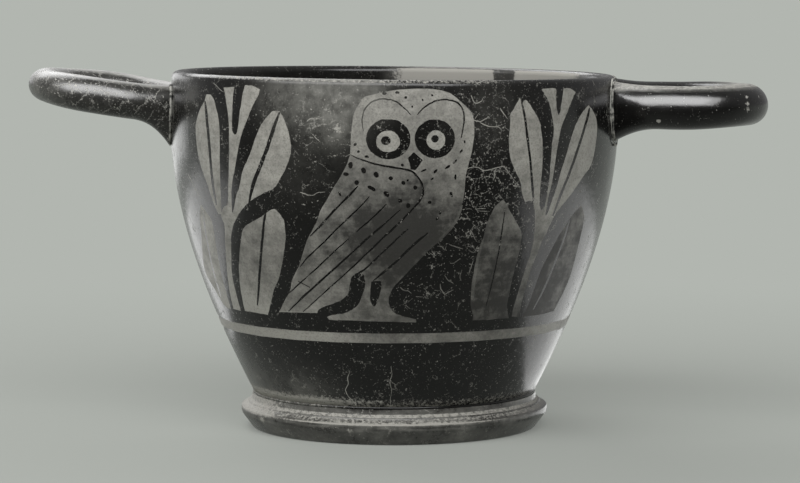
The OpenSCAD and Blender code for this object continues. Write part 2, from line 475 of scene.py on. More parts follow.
# left sprig of two pairs of leaves on a forked stem
leftSprig = {
    "upperLeftLeaf": [
        [(218.5, 214), (214, 204), (208, 186), (200, 163), (196.5, 143), (196, 124), (200, 109),
         (204.5, 101), (206, 94.5)],
        [(210.5, 94.5)],
        [(214, 100), (218.3, 118), (219.5, 130), (219.7, 160), (220.5, 190), (221, 200), (221.5, 214)],
    ],
    "stem": [
        [(223.5, 87.5), (225, 95), (228.5, 120), (229, 150), (228, 195), (227.7, 204), (224.5, 206.5),
         (221.5, 212), (222, 218.5), (224.5, 225), (225, 240), (226.5, 265), (229.7, 292), (233.5, 309)],
        [(241, 311)],
        [(238.5, 302), (233, 280), (231.5, 265), (231, 240), (232, 230), (234.5, 222), (238.5, 214),
         (233, 213), (231.7, 205), (232, 185), (235.5, 165), (240.5, 138), (248, 117), (254, 103),
         (258, 96), (260, 89.5)],
        [(253, 86), (245, 85)],
        [(242.5, 95), (241, 105), (239.5, 113), (237.8, 128), (236.5, 133.5)],
        [(234.5, 134.5), (232, 130)],
        [(232.5, 105), (233, 95), (234.5, 86.5)],
    ],
    "upperRightLeaf": [
        [(238.5, 214), (233, 213)],
        [(235.5, 199), (239.5, 186), (243, 170), (250, 154), (255, 139), (261, 125), (269, 114.5),
         (273.5, 111)],
        [(279.5, 111)],
        [(284, 119), (289, 134), (291, 150), (287.5, 164), (281, 177), (274, 188), (264, 193),
         (252, 200), (246, 205), (238.5, 214)],
    ],
    "lowerRightLeaf": [
        [(266, 213), (261, 217), (250, 223), (243, 229.5), (240.5, 245), (239, 265), (240, 285),
         (243, 302), (245, 311)],
        [(252, 312), (268, 315)],
        [(270.5, 304), (274, 290), (279.5, 276), (284, 252), (285.5, 235), (283.5, 220), (278, 212),
         (273.5, 209), (266, 213)],
    ],
    "lowerLeftLeaf": [
        [(200.7, 204), (207, 213), (212, 222), (216, 245), (219.5, 265), (224, 285), (231, 309)],
        [(224, 305), (214, 288), (205.7, 273), (202.5, 255), (201.5, 235), (200, 218), (200.7, 204)],
    ],
    "midribs": [
        ([(205, 101), (206.5, 115), (209.7, 150), (212.3, 180), (216.5, 205)], 2.5),
        ([(279.5, 112), (273, 130), (266.5, 150), (259.5, 168), (253, 185), (249, 203)], 3.7),
        ([(265.7, 212.5), (264, 222), (262, 243), (260.3, 265), (257.5, 305.5)], 2.6),
        ([(202.5, 210), (207, 240), (213, 270), (221, 297)], 1.2),
    ],
    "paleStrokes": [],
    "tones": {"upperLeftLeaf": -0.02, "stem": -0.02, "upperRightLeaf": -0.02, "lowerRightLeaf": -0.02,
              "lowerLeftLeaf": -0.02},
}
paintSprig(leftSprig)

# right sprig
rightSprig = {
    "upperLeftLeaf": [
        [(525.1, 202.4), (522.2, 194), (520.2, 181.6), (515.2, 171), (510.2, 156.8), (509, 141),
         (509.8, 127.8), (510.6, 113.7)],
        [(514.8, 106.6), (519.8, 97.5)],
        [(522, 103), (523.9, 100.4), (527.2, 100.8), (533, 109.5), (539.2, 120.3), (541.3, 131.1),
         (542.7, 150), (542.1, 170), (540.5, 186), (539.5, 204), (541, 210)],
        [(534.7, 210), (533.4, 200.7)],
        [(528, 201.1)],
    ],
    "stem": [
        [(541.7, 89.2), (547.1, 98), (550.8, 109.5), (553.7, 129), (552.1, 144.3), (550.8, 161),
         (548.8, 184), (544.8, 206), (543, 209.6)],
        [(540.8, 209.6), (534.7, 209)],
        [(534.6, 228), (532, 248), (525.2, 269.4), (518.9, 290), (513.6, 307), (511.8, 316.5)],
        [(518.9, 316.8)],
        [(522.5, 299), (530.5, 271), (535.9, 257), (543.9, 237.3), (550.2, 224.8), (553.8, 216.8)],
        [(548.5, 215), (545.6, 214.6), (547.9, 200), (552.9, 177.5), (557.9, 144.3), (562, 125.3),
         (567.8, 111.2), (572.8, 98), (575.7, 92.1)],
        [(570.3, 88.4), (563.7, 88.2)],
        [(562, 100.4), (560, 112), (558.7, 115.5)],
        [(556.6, 108), (556, 97), (555.4, 88.4), (541.7, 89.2)],
    ],
    "upperRightLeaf": [
        [(546.6, 216), (550.5, 205), (556.2, 188.3), (562, 168.4), (567.8, 150), (572.8, 132.7),
         (578.6, 118.6), (583.6, 110.8), (588.6, 104.9)],
        [(592.7, 110.3), (596.5, 119.5), (597, 131), (594.8, 150), (590.6, 166), (581.9, 178.3),
         (568.7, 197.4), (557.3, 211.4), (553.2, 218.5)],
        [(546.6, 216)],
    ],
    "lowerLeftLeaf": [
        [(508.7, 318.1), (486.8, 319.9), (472.5, 320.5)],
        [(473, 315), (470.7, 305), (471.6, 288), (474.3, 273), (477.4, 253.4), (483.7, 236.4),
         (486.3, 225), (493.9, 208.7), (500.2, 202), (503.5, 199.5)],
        [(510.4, 211.4), (518, 224.8), (521.6, 234), (519.8, 250), (514.5, 269.4), (510.9, 286.4),
         (507.3, 305), (508.7, 318.1)],
    ],
    "lowerRightLeaf": [
        [(522.5, 316.8), (529.2, 302.5), (536.3, 283), (541.3, 269.4), (549.5, 253), (559.1, 235.5),
         (567.1, 223), (572.5, 215), (578.8, 207.8), (581.4, 205.1)],
        [(584, 216), (581.6, 232), (577, 250.7), (572.1, 269.4), (565.4, 288.2), (553.8, 310.8)],
        [(540.4, 314.5), (522.5, 316.8)],
    ],
    "midribs": [
        ([(521.4, 101.2), (524.7, 116), (527.2, 134.4), (530.8, 166), (532.6, 189), (533.5, 201)], 2.3),
        ([(589.5, 108), (586.9, 119.5), (578.6, 146.8), (568.7, 175), (560.4, 195.7), (552.9, 216)], 2.4),
        ([(505.1, 207.8), (502.9, 224), (499.7, 247), (495.3, 268.5), (490.8, 288), (485.9, 306)], 1.3),
        ([(569.4, 220.3), (563.6, 240), (552.9, 267.6), (543.9, 289), (533.2, 309.6)], 1.7),
    ],
    # points, width, width at the end, tone
    "paleStrokes": [
        ([(472.2, 300), (474, 280), (478.5, 255), (484, 238)], 4, 2, 0.1),
        ([(545.5, 219), (547, 226), (543.5, 237)], 3, 3, 0.05),
    ],
    # the lower leaves are painted darker and the upper ones lighter, as painted shade from above
    "tones": {"upperLeftLeaf": -0.08, "stem": 0.04, "upperRightLeaf": -0.1, "lowerLeftLeaf": 0.25,
              "lowerRightLeaf": 0.6},
}
paintSprig(rightSprig)

# the owl between them, its head turned to the front
owl = {
    "body": [
        [(416, 322.6), (366, 321), (329, 320)],
        [(327, 317)],
        [(333, 314.9), (343, 313.7), (350, 310.8), (357.9, 305), (362.9, 293.4), (365.3, 284),
         (363.7, 275.1)],
        [(358.7, 273.3), (352.1, 276.8), (349.6, 286), (348, 293.4), (341.3, 300), (329.7, 304.6),
         (319.8, 308.7), (316.9, 312.8)],
        [(300, 312.6), (279.3, 312)],
        [(284.1, 301.7), (289.9, 291), (292.4, 279.3), (299, 266), (304.4, 251), (306.1, 243),
         (311.9, 231), (316.5, 222), (320.2, 211.3), (326.4, 200.5), (336.4, 186), (343.5, 171.5),
         (350, 156.8)],
        [(350.8, 140), (351.8, 128), (353.4, 115.3), (359.6, 103), (365, 96.7), (377, 93.8),
         (390, 90.5), (410, 88.8), (432, 89), (450, 93.3), (461.2, 102), (470.4, 111), (474, 121),
         (473.5, 142), (469.9, 160), (466, 175), (464.1, 194), (460.4, 210.4), (454.6, 224.5),
         (444.7, 236.6), (424.8, 254.4), (404.9, 274.7), (392.8, 288.4), (388.7, 300.8),
         (392.4, 310.8), (399.9, 315.3), (409.8, 317.8), (416, 319.3)],
    ],
    "wing": [
        [(350, 155.5), (364.6, 161.3), (380.3, 165), (403.5, 168.8), (415.6, 174.6), (421, 181.7),
         (423.3, 190), (421, 199), (409.8, 212), (394.9, 227), (376.2, 244.4), (353.8, 266),
         (328.1, 289.2), (303.2, 311.6)],
        [(280, 311)],
        [(289.9, 291), (299, 266), (306.1, 243), (316.5, 222), (326.4, 200.5), (343.5, 171.5),
         (350, 155.5)],
    ],
    "feathers": [
        ([(357.9, 185.8), (349.6, 195), (337.2, 207.4), (323.1, 223), (310, 236.6)], 2.2),
        ([(369.5, 196.6), (356.3, 210.4), (340.5, 225.4), (319.8, 246), (307.3, 257.7), (299.9, 266.8)], 1.7),
        ([(386.5, 204.2), (372, 218), (356.3, 232)], 1.6),
        ([(348.8, 238.6), (334.7, 251), (317.3, 267.7), (301.5, 281.7), (286.6, 295.8)], 1.4),
        ([(400.5, 209.5), (382.8, 225.4), (364.6, 241), (341.3, 262.7), (319.8, 281.7), (300.7, 299.2),
          (288.5, 311.5)], 2.1),
        ([(350, 154.7), (359.6, 158.8), (374.5, 163.8), (391.1, 167.1), (408.2, 170), (415.6, 174.6),
          (421, 181.7), (423.3, 190), (421, 199), (409.8, 212), (394.9, 227), (376.2, 244.4),
          (353.8, 266), (328.1, 289.2), (303.2, 311.6)], 2),
        ([(408.2, 228.7), (397.4, 238.6), (377.8, 257), (363.7, 270), (354.6, 274.3)], 1.9),
        ([(428.1, 232.8), (412.3, 246), (394.1, 263.5), (373, 281)], 2.3),
        ([(297.8, 280.9), (310.2, 287.6)], 1.8),
    ],
    "browStrokes": [
        ([(363.3, 131), (362.1, 119.5), (365, 108.7), (373.7, 100.8), (385.3, 99.1), (396.1, 101.6),
          (404.4, 108.3), (410.7, 114.5)], 1.4),
        ([(417.3, 114.5), (425.6, 106.6), (434.7, 101.2), (446.3, 99.7), (457.9, 103), (463.7, 112.8),
          (463.6, 125.3), (461.2, 137.7)], 1.6),
    ],
    "legGap": [
        [(371.2, 281.7), (380.3, 280.5)],
        [(381.6, 285), (380.5, 291), (377.8, 301.6), (373.7, 306.2), (370.2, 300), (370.5, 289),
         (371.2, 281.7)],
    ],
    "beak": [
        [(414, 152.4), (422.9, 160)],
        [(418.1, 166.7), (414.8, 170), (410.7, 169.2)],
        [(409.6, 163), (407.2, 158.4)],
        [(411.5, 154.5), (414, 152.4)],
    ],
    "flankLight": ([(462.5, 205), (457, 219), (446.5, 233), (425, 252.5), (398, 281)], 2.6),
    "eyeTop": 119.5,         # the brow cuts the eyes off flat
    # middle, width, height, kind, tone
    "eyes": [
        ((388.3, 139), 44.4, 40.6, "gloss", 0),
        ((388, 141.5), 24, 21.4, "clay", -0.1),
        ((385.8, 140.6), 9.8, 9.2, "gloss", 0),
        ((434.8, 138.7), 40.4, 39, "gloss", 0),
        ((435.9, 140.1), 18.6, 19.6, "clay", -0.15),
        ((434.9, 138.7), 7.6, 7.8, "gloss", 0),
    ],
    # middle x, middle y, width, height, tilt
    "dots": [
        (350.5, 165.1, 5, 7, 0), (345.9, 174.2, 5.5, 4, 10), (363.7, 170.5, 5, 6.5, -20),
        (376.2, 174.6, 5, 6.5, -30), (390.7, 178.3, 4.4, 4.6, 0), (403.4, 182.6, 4.2, 4.2, 0),
        (356.7, 182.5, 5, 4.6, 0), (371.5, 188.4, 9, 3.8, 28), (386.5, 194.1, 7, 4.8, 40),
        (400.2, 200.7, 5, 4, 20), (408.2, 205.9, 4.5, 5.2, 0), (415.2, 187.5, 4.4, 4.4, 0),
        (407.8, 180.4, 2.4, 2.2, 0), (339.7, 193.7, 2.4, 5.2, -25),
        (355, 144.3, 3.6, 3.4, 0), (358.3, 151.8, 2.8, 3, 0), (366.6, 156.8, 4.6, 2.6, 10),
        (384.5, 93.2, 4.6, 3.2, 0), (397.4, 92.4, 4.6, 2.6, 0), (405.8, 97.5, 3.2, 2.8, 0),
        (412.3, 106.6, 2, 2, 0), (422.7, 100, 2, 2, 0), (432.2, 95.4, 2.4, 2, 0),
        (402.4, 165.4, 3.4, 2.8, 0), (464.6, 141.8, 2, 3.4, 0), (461.4, 151, 4.6, 2.4, -50),
        (455, 161.7, 6, 2.4, -42), (447.6, 167.1, 6.4, 2.4, -36), (423.9, 170.5, 6.4, 2, -20),
        (435.5, 171.2, 5.4, 2.4, -50), (432.2, 178.9, 3.4, 2, -40), (455.4, 177, 2.4, 6.4, 0),
        (451.3, 194.5, 3, 6, -15), (437.2, 218.7, 4.2, 2.6, -48), (429.7, 202.4, 4.6, 3.6, 0),
        (440.4, 213, 1.8, 4.4, 0),
    ],
    "bodyTone": 0.1,
    "wingTone": 0.3,
}
paintShape(owl["body"], tone=owl["bodyTone"])
paintShape(owl["wing"], tone=owl["wingTone"])
light, lightWidth = owl["flankLight"]
paintStroke(light, lightWidth, "clay")
for feather, featherWidth in owl["feathers"]:
    paintStroke(feather, featherWidth)
paintShape(owl["legGap"], "gloss")
for brow, browWidth in owl["browStrokes"]:
    paintStroke(brow, browWidth)
for middle, width, height, kind, tone in owl["eyes"]:
    paintDot(middle, width, height, kind=kind, tone=tone, flatTop=owl["eyeTop"])
paintShape(owl["beak"], "gloss")
for dotX, dotY, dotWidth, dotHeight, dotTilt in owl["dots"]:
    paintDot((dotX, dotY), dotWidth, dotHeight, dotTilt)

# cracks and scratches where the gloss has flaked to the clay
flakes = [
    ([(306.5, 121.5), (309, 119.5), (313, 118.2), (317, 118.4), (321, 119.5)], 1),
    ([(300, 192.2), (303, 193), (308, 195), (314, 195), (317.5, 192.5), (325, 192)], 1),
    ([(312, 134), (316, 138), (320.5, 142.3)], 0.8),
    ([(471, 95), (474.5, 102.5), (480, 102), (484, 97)], 1),
    ([(475, 118.5), (479.5, 112.5)], 1),
    ([(473.5, 119.5), (480, 121.5), (487, 118), (488, 116)], 1.1),
    ([(480, 122), (487, 126), (492, 127), (499, 127), (501, 130)], 1.1),
    ([(467, 168.5), (476, 167), (483, 170), (489, 170), (502, 166.5), (506, 169), (509, 173),
      (517.5, 184)], 1.2),
    ([(476, 166.5), (479.5, 160.5)], 1),
    ([(494, 170), (494.5, 176), (493, 181)], 0.9),
    ([(500, 108), (504, 114), (508, 119)], 1),
    ([(466, 209), (470, 208.5), (472, 209.5)], 0.9),
    ([(475, 208), (479, 211), (490, 211.5)], 0.9),
    ([(475, 209), (481, 208.7), (486, 208.5)], 1),
    ([(461, 217), (464, 219), (468, 217.5), (464, 213)], 0.9),
    ([(470, 232), (473, 234), (474.5, 238), (477, 242)], 1),
    ([(437, 246), (442, 247), (445, 250), (446, 245.5)], 0.9),
    ([(449, 244.5), (455, 246.5), (460, 248), (463, 248.5)], 1),
    ([(469, 250), (473, 252.5), (476, 250), (478, 245.5)], 1),
    ([(450, 263.5), (454, 263), (459, 259.5), (461, 259)], 1.1),
    ([(469, 273.5), (471, 267), (473, 261)], 1.3),
    ([(461, 281), (460, 276), (462, 269.5)], 0.9),
    ([(444.5, 275), (448, 280), (453.5, 283.5)], 1),
    ([(440, 284), (441, 289), (445, 294), (449, 292), (453.5, 290)], 1.1),
    ([(400, 287), (403, 290), (408, 291), (411.5, 293.5)], 1.1),
    ([(416, 296.5), (423, 297)], 1.3),
    ([(408, 302), (413, 298)], 0.8),
    ([(405, 307), (408, 310)], 0.8),
    ([(208, 77.5), (214.8, 84), (223, 92)], 0.9),
    ([(350, 372), (347.5, 378), (348.2, 384), (345.4, 390), (349, 397), (354, 402), (357, 407)], 0.9),
    ([(391, 366), (391.9, 374), (390, 382), (391.7, 391), (390.3, 400), (391.5, 409)], 0.8),
    ([(188, 174), (193, 184), (197, 192), (201, 198)], 0.8),
]
flakeTone = -0.1
flakeTip = 0.5               # width of a crack's end, as a share of the crack's
for crack, crackWidth in flakes:
    paintStroke(crack, crackWidth, "clay", flakeTone, endWidth=crackWidth * flakeTip)
# the back repeats the picture side
for shape in list(painting):
    copied = [(u + halfTurn, z) for u, z in shape["ring"]]
    painting.append({"ring": copied, "kind": shape["kind"], "tone": shape["tone"]})

# a stripe reserved all round
stripe = {
    "low": 23.2,
    "high": 25.4,
    "tone": -0.2,
    "steps": 24,
}


def paintStripe():
    steps = stripe["steps"]
    across = [mix(seamSide, seamSide + 2 * halfTurn, i / steps) for i in range(steps + 1)]
    ring = [(u, stripe["low"]) for u in across] + [(u, stripe["high"]) for u in across[::-1]]
    painting.append({"ring": ring, "kind": "clay", "tone": stripe["tone"]})


paintStripe()
print("painting drawn:", len(painting), "shapes")


def wallPoint(u, z):
    turn = u / drawRadius
    radius = wallRadius(z)
    x = radius * math.sin(turn)
    y = -radius * math.cos(turn)
    return Vector((x, y, z))


def paintedWall():
    rows = round((lipZ - bowl["baseZ"]) / bowl["rowHeight"])
    columns = bowl["columns"]
    points = []
    for row in range(rows + 1):
        for column in range(columns + 1):
            u = seamSide + 2 * halfTurn * column / columns
            points.append((u, mix(bowl["baseZ"], lipZ, row / rows)))
    top = rows * (columns + 1)
    edges = [(i, i + 1) for i in range(columns)]
    edges += [(top + i, top + i + 1) for i in range(columns)]
    edges += [(i * (columns + 1), (i + 1) * (columns + 1)) for i in range(rows)]
    edges += [(i * (columns + 1) + columns, (i + 1) * (columns + 1) + columns) for i in range(rows)]
    for shape in painting:
        first = len(points)
        points += shape["ring"]
        last = len(points) - 1
        edges += [(i, i + 1) for i in range(first, last)] + [(last, first)]
    mergeWithin = 0.0001
    made = delaunay_2d_cdt([Vector(p) for p in points], edges, [], 0, mergeWithin, False)
    flat, triangles = made[0], made[2]
    mesh = bpy.data.meshes.new("bowl")
    mesh.from_pydata([mmVector(wallPoint(p.x, p.y)) for p in flat], [], triangles)
    mesh.materials.append(glossSlip)
    mesh.materials.append(clay)
    corners = np.array([tuple(p) for p in flat])[np.array(triangles)]
    spots = corners.mean(axis=1)
    kinds = np.zeros(len(spots), int)
    tones = np.zeros(len(spots))
    for shape in painting:
        covered = insideRing(spots, shape["ring"])
        kinds[covered] = 1 if shape["kind"] == "clay" else 0     # clay is the mesh's second material
        tones[covered] = shape["tone"]
    mesh.polygons.foreach_set("material_index", kinds)
    mesh.attributes.new("tone", "FLOAT", "FACE").data.foreach_set("value", tones)
    return mesh


def insideRing(spots, ring):
    # which spots a ring winds round
    u, z = spots[:, 0], spots[:, 1]
    winding = np.zeros(len(spots), int)
    for (ua, za), (ub, zb) in zip(ring, ring[1:] + ring[:1]):
        if za == zb:
            continue
        crossed = ((za > z) != (zb > z)) & (u < (ub - ua) * (z - za) / (zb - za) + ua)
        winding[crossed] += 1 if zb > za else -1
    return winding != 0


outerMesh = paintedWall()
outerWall = bpy.data.objects.new("painted_bowl", outerMesh)
bpy.context.collection.objects.link(outerWall)
print("painted wall:", len(outerMesh.polygons), "faces")


def spinProfile(name, profile, steps):
    # a line of (radius, height) points drawn vertex by vertex and spun round the cup's axis
    deselectAll()
    bpy.ops.mesh.primitive_plane_add(size=0.001, location=(0, 0, 0))
    item = bpy.context.object
    item.name = name
    bpy.ops.object.mode_set(mode="EDIT")
    bpy.ops.mesh.merge(type="CENTER")
    radius, height = profile[0]
    bpy.ops.transform.translate(value=(mm(radius), 0, mm(height)))
    for nextRadius, nextHeight in profile[1:]:
        move = (mm(nextRadius - radius), 0, mm(nextHeight - height))
        bpy.ops.mesh.extrude_vertices_move(TRANSFORM_OT_translate={"value": move})
        radius, height = nextRadius, nextHeight
    bpy.ops.mesh.select_all(action="SELECT")
    bpy.ops.mesh.spin(steps=steps, angle=2 * math.pi, center=(0, 0, 0), axis=(0, 0, 1))
    closeMesh(item, mergeWithin=0.002)
    return item


def curveBetween(a, c, b, steps):
    # points on a curve that leaves a towards c and arrives at b from c
    line = []
    for i in range(1, steps + 1):
        t = i / steps
        line.append(tuple(mix(mix(a[k], c[k], t), mix(c[k], b[k], t), t) for k in (0, 1)))
    return line


def bowlInside():
    lipRadius = bowl["lipThick"] / 2
    lipMiddle = wallRadius(lipZ) - lipRadius
    profile = [(wallRadius(lipZ), lipZ)]
    for i in range(1, bowl["lipSteps"] + 1):
        turn = math.pi * i / bowl["lipSteps"]
        profile.append((lipMiddle + lipRadius * math.cos(turn), lipZ + lipRadius * math.sin(turn)))
    roundTop = floorZ + bowl["floorRound"]
    for i in range(1, bowl["insideRows"] + 1):
        z = mix(lipZ, roundTop, i / bowl["insideRows"])
        profile.append((innerRadius(z), z))
    corner = (innerRadius(floorZ), floorZ)
    flatStart = (innerRadius(floorZ) - bowl["floorRound"], floorZ)
    profile += curveBetween(profile[-1], corner, flatStart, bowl["roundSteps"])
    rings = bowl["floorRings"]
    profile += [(flatStart[0] * k / rings, floorZ) for k in range(rings - 1, -1, -1)]
    profile += [(bowl["baseRadius"] * k / rings, bowl["baseZ"]) for k in range(rings + 1)]
    return spinProfile("bowlInside", profile, bowl["columns"])


insideWall = bowlInside()
insideWall.data.materials.append(glossSlip)
selectOnly(outerWall, insideWall)
bpy.ops.object.join()
bowlPiece = outerWall
closeMesh(bowlPiece, mergeWithin=0.004)
print("bowl closed:", len(bowlPiece.data.polygons), "faces")

# places where the gloss is worn to the clay: pixel of the photograph, radius, strength
wornSpots = [
    ((337, 128), 2.2, 0.62),
    ((325, 103), 4.5, 0.42),
    ((330, 92), 6, 0.38),
    ((296, 100), 5, 0.3),
    ((490, 120), 6, 0.42),
    ((478, 100), 4, 0.45),
    ((470, 245), 6, 0.3),
    ((450, 290), 7, 0.25),
    ((500, 90), 5, 0.4),
    ((530, 230), 3, 0.35),
    ((388, 134), 4.5, 0.42),
    ((435, 134), 4.5, 0.46),
    ((598, 160), 6, 0.4),
    ((186, 100), 5, 0.4),
    ((300, 240), 4, 0.35),
    ((560, 235), 4, 0.35),
]
# places where the gloss is rubbed thin
veilSpots = [
    ((275, 92), 6, 0.3),
    ((305, 93), 7, 0.42),
    ((335, 95), 7, 0.5),
    ((365, 88), 6, 0.45),
    ((336, 128), 4, 0.5),
    ((300, 165), 9, 0.12),
    ((262, 395), 10, 0.6),
    ((310, 402), 7, 0.5),
    ((190, 95), 4, 0.25),
    ((490, 115), 8, 0.16),
    ((232, 385), 9, 0.4),
]
# places where the reserved clay is darker, partly darkened with age and partly painted shade on the lower
# parts; a negative strength makes it lighter
sootAndShadeSpots = [
    ((398, 245), 8, 0.75),
    ((390, 215), 15, 0.3),
    ((345, 250), 9, 0.15),
    ((440, 215), 9, 0.35),
    ((380, 310), 9, 0.05),
    ((300, 300), 7, -0.05),
    ((495, 262), 14, 0.45),
    ((550, 270), 12, 0.2),
    ((262, 262), 10, 0.45),
    ((250, 330), 12, -0.45),
    ((320, 333), 8, -0.2),
    ((395, 333), 14, 0.5),
    ((500, 333), 12, 0.5),
]
# the gloss inside the back of the rim is rubbed pale on one side and painted pale there as a painted
# highlight; each pair is a soft edge's two ends
insideRubAndHighlight = {
    "back": (15, 30),        # along y
    "levels": (52, 72),      # along z
    "starts": (-8, 4),       # along x, as are the next two
    "darkFrom": (20.5, 22.5),        # a stretch that kept its gloss
    "darkTo": (26, 28),
    "darkShare": 0.75,
    "least": 0.05,
}
# a flake there that kept its gloss, a triangle
innerFlake = {
    "middle": 38.5,
    "half": 3.2,
    "foot": 75.6,
    "height": 2.6,
    "share": 0.8,
}
spotReach = 2.2              # a spot ends this many of its radii out


def spotsOnWall(spots):
    return [(wallPoint(*wallSpot(*pixel)), size, strength) for pixel, size, strength in spots]


def strongest(place, spots, amount=0.0):
    for middle, size, strength in spots:
        reach = (place - middle).length / size
        if reach < spotReach:
            amount = max(amount, strength * math.exp(-reach * reach))
    return amount


def summed(place, spots):
    return sum(strength * math.exp(-((place - middle).length / size) ** 2)
               for middle, size, strength in spots)


def insideVeil(place):
    back = smoothStep(*insideRubAndHighlight["back"], place.y) * smoothStep(*insideRubAndHighlight["levels"], place.z)
    rise = smoothStep(*insideRubAndHighlight["starts"], place.x)
    dark = insideRubAndHighlight["darkShare"] * between(insideRubAndHighlight["darkFrom"], insideRubAndHighlight["darkTo"], place.x)
    peak = 1 - abs(place.x - innerFlake["middle"]) / innerFlake["half"]
    kept = 1 if peak > 0 and place.z < innerFlake["foot"] + innerFlake["height"] * peak else 0
    return back * max(insideRubAndHighlight["least"], rise * (1 - dark) * (1 - innerFlake["share"] * kept))


# wear over the whole bowl: each pair is a soft edge's two ends or an amount at its two ends
bowlWear = {
    "lipLevels": (79.05, 79.3),
    "lipRadii": (48.0, 48.5),
    "lipFrom": (-46, -34),   # along x, between which the lip is worn most
    "lipTo": (22, 32),
    "lipAmounts": (0.3, 0.5),
    "footLevels": (8.6, 14),
    "footFrom": (-18, 2),    # along x, left to middle
    "footAmounts": (0.66, 0.51),
    "footRadius": 31,        # the recess inside the foot isn't worn
    # wear inside, most where the back of the rim is painted pale, partly as a painted highlight
    "insideAmounts": (0.16, 0.85),
    "skinDepth": 0.5,        # how far outside the inner face the outside begins
    "densePixel": (492, 190),        # the cracks are densest round these two places
    "denseReach": 22,
    "secondPixel": (320, 130),
    "secondReach": 13,
    "secondShare": 0.8,
    "crazeOutside": 0.45,
    "crazeInside": 0.25,
}


def paintWearHighlightAndShade():
    # wearAndHighlight shows the clay through the gloss, craze says how dense the cracks are, veil greys the
    # gloss where it is rubbed thin and, inside the back of the rim, as a painted highlight, and sootAndShade
    # darkens the clay with age and as painted shade
    mesh = bowlPiece.data
    names = ("wearAndHighlight", "craze", "veil", "sootAndShade")
    for name in names:
        mesh.attributes.new(name, "FLOAT", "POINT")
    layers = {name: mesh.attributes[name].data for name in names}
    bareClay, veiled, sootyAndShaded = (spotsOnWall(spots) for spots in (wornSpots, veilSpots, sootAndShadeSpots))
    densePart = wallPoint(*wallSpot(*bowlWear["densePixel"]))
    secondPart = wallPoint(*wallSpot(*bowlWear["secondPixel"]))
    for vertex in mesh.vertices:
        place = vertex.co * 1000
        around = math.hypot(place.x, place.y)
        inner = innerRadius(min(lipZ, max(bowl["baseZ"], place.z)))
        outside = around > inner + bowlWear["skinDepth"]
        front = place if place.y < 0 else Vector((-place.x, -place.y, place.z))
        lip = smoothStep(*bowlWear["lipLevels"], place.z) * smoothStep(*bowlWear["lipRadii"], around)
        lipWear = mix(*bowlWear["lipAmounts"], between(bowlWear["lipFrom"], bowlWear["lipTo"], front.x))
        footShare = mix(*bowlWear["footAmounts"], smoothStep(*bowlWear["footFrom"], front.x))
        nearFoot = (1 - smoothStep(*bowlWear["footLevels"], place.z)) * footShare
        rubAndHighlight = 0 if outside else insideVeil(place)
        amount = mix(*bowlWear["insideAmounts"], rubAndHighlight)
        if outside:
            least = nearFoot if around > bowlWear["footRadius"] else 0
            amount = strongest(front, bareClay, max(amount, lip * lipWear, least))
        dense = math.exp(-((front - densePart).length / bowlWear["denseReach"]) ** 2)
        second = math.exp(-((front - secondPart).length / bowlWear["secondReach"]) ** 2)
        craze = max(bowlWear["crazeOutside"], dense, bowlWear["secondShare"] * second)
        layers["wearAndHighlight"][vertex.index].value = amount
        layers["craze"][vertex.index].value = craze if outside else bowlWear["crazeInside"]
        layers["veil"][vertex.index].value = summed(front, veiled) if outside else rubAndHighlight
        layers["sootAndShade"][vertex.index].value = summed(front, sootyAndShaded)


paintWearHighlightAndShade()


def settleBowl():
    # turns the ideal shape into a thrown one and gives the wall its smooth normals
    onLevel, onRadius, slopeStep = 0.01, 0.02, 0.05
    mesh = bowlPiece.data
    normals = [vertex.normal.copy() for vertex in mesh.vertices]
    for vertex in mesh.vertices:
        place = vertex.co * 1000
        around = math.hypot(place.x, place.y)
        z = place.z
        level = bowl["baseZ"] + onLevel < z < lipZ + onLevel
        if level and abs(around - wallRadius(z)) < onRadius:
            slope = (wallRadius(z + slopeStep) - wallRadius(z - slopeStep)) / (2 * slopeStep)
            normals[vertex.index] = Vector((place.x / around, place.y / around, -slope)).normalized()
        place.z += rimLift(place.x, z)
        vertex.co = place / 1000
    mesh.shade_smooth()
    mesh.normals_split_custom_set_from_vertices(normals)


settleBowl()

# the foot ring: the shape of the CAD source with a finer edge, step and collar
foot = {
    "height": 7.8,
    "restOuter": 32.6,
    "restWidth": 5.4,
    "noseRadius": 34.7,
    "noseZ": 4.3,
    "noseRound": 2.4,
    "noseLow": -30,
    "noseHigh": 14,
    "edgeRound": 1,
    "edge": (34.3, 4.95),    # the sharp edge above the nose
    "step": (33, 6),         # a fine step half way up the slope
    "collarRadius": 32.1,
    "collarFoot": (32.25, 6.9),      # where the slope turns upright
    "innerTop": 25.2,
    "innerRound": 0.5,
    "innerCut": 0.15,        # the inner arris is cut off this much
    "restSpots": (2, 1),     # extra rings on the face that the cup stands on, in from its two edges
    "topSpots": (30, 28),
    # how the hollow slopes bend: offsets from the step and from the collar's foot
    "slopeBend": (0.3, -0.5),
    "slopeEnd": (0.1, -0.25),
    "collarBend": (0.05, 0.25),
    "edgeSteps": 6,
    "noseSteps": 14,
    "slopeSteps": 4,
    "collarSteps": 6,
    "recessSteps": 6,
    "steps": 240,
}
# the slip between the pieces; at the foot its bead is sunk a little into the joint
slip = {
    "thick": 0.6,
    "sunk": 0.22,
    "beadSteps": 10,
}
smoothWithin = 38            # edges sharper than this stay sharp


def arcPoints(middle, radius, start, end, steps):
    turns = [math.radians(mix(start, end, i / steps)) for i in range(steps + 1)]
    return [(middle[0] + radius * math.cos(t), middle[1] + radius * math.sin(t)) for t in turns]


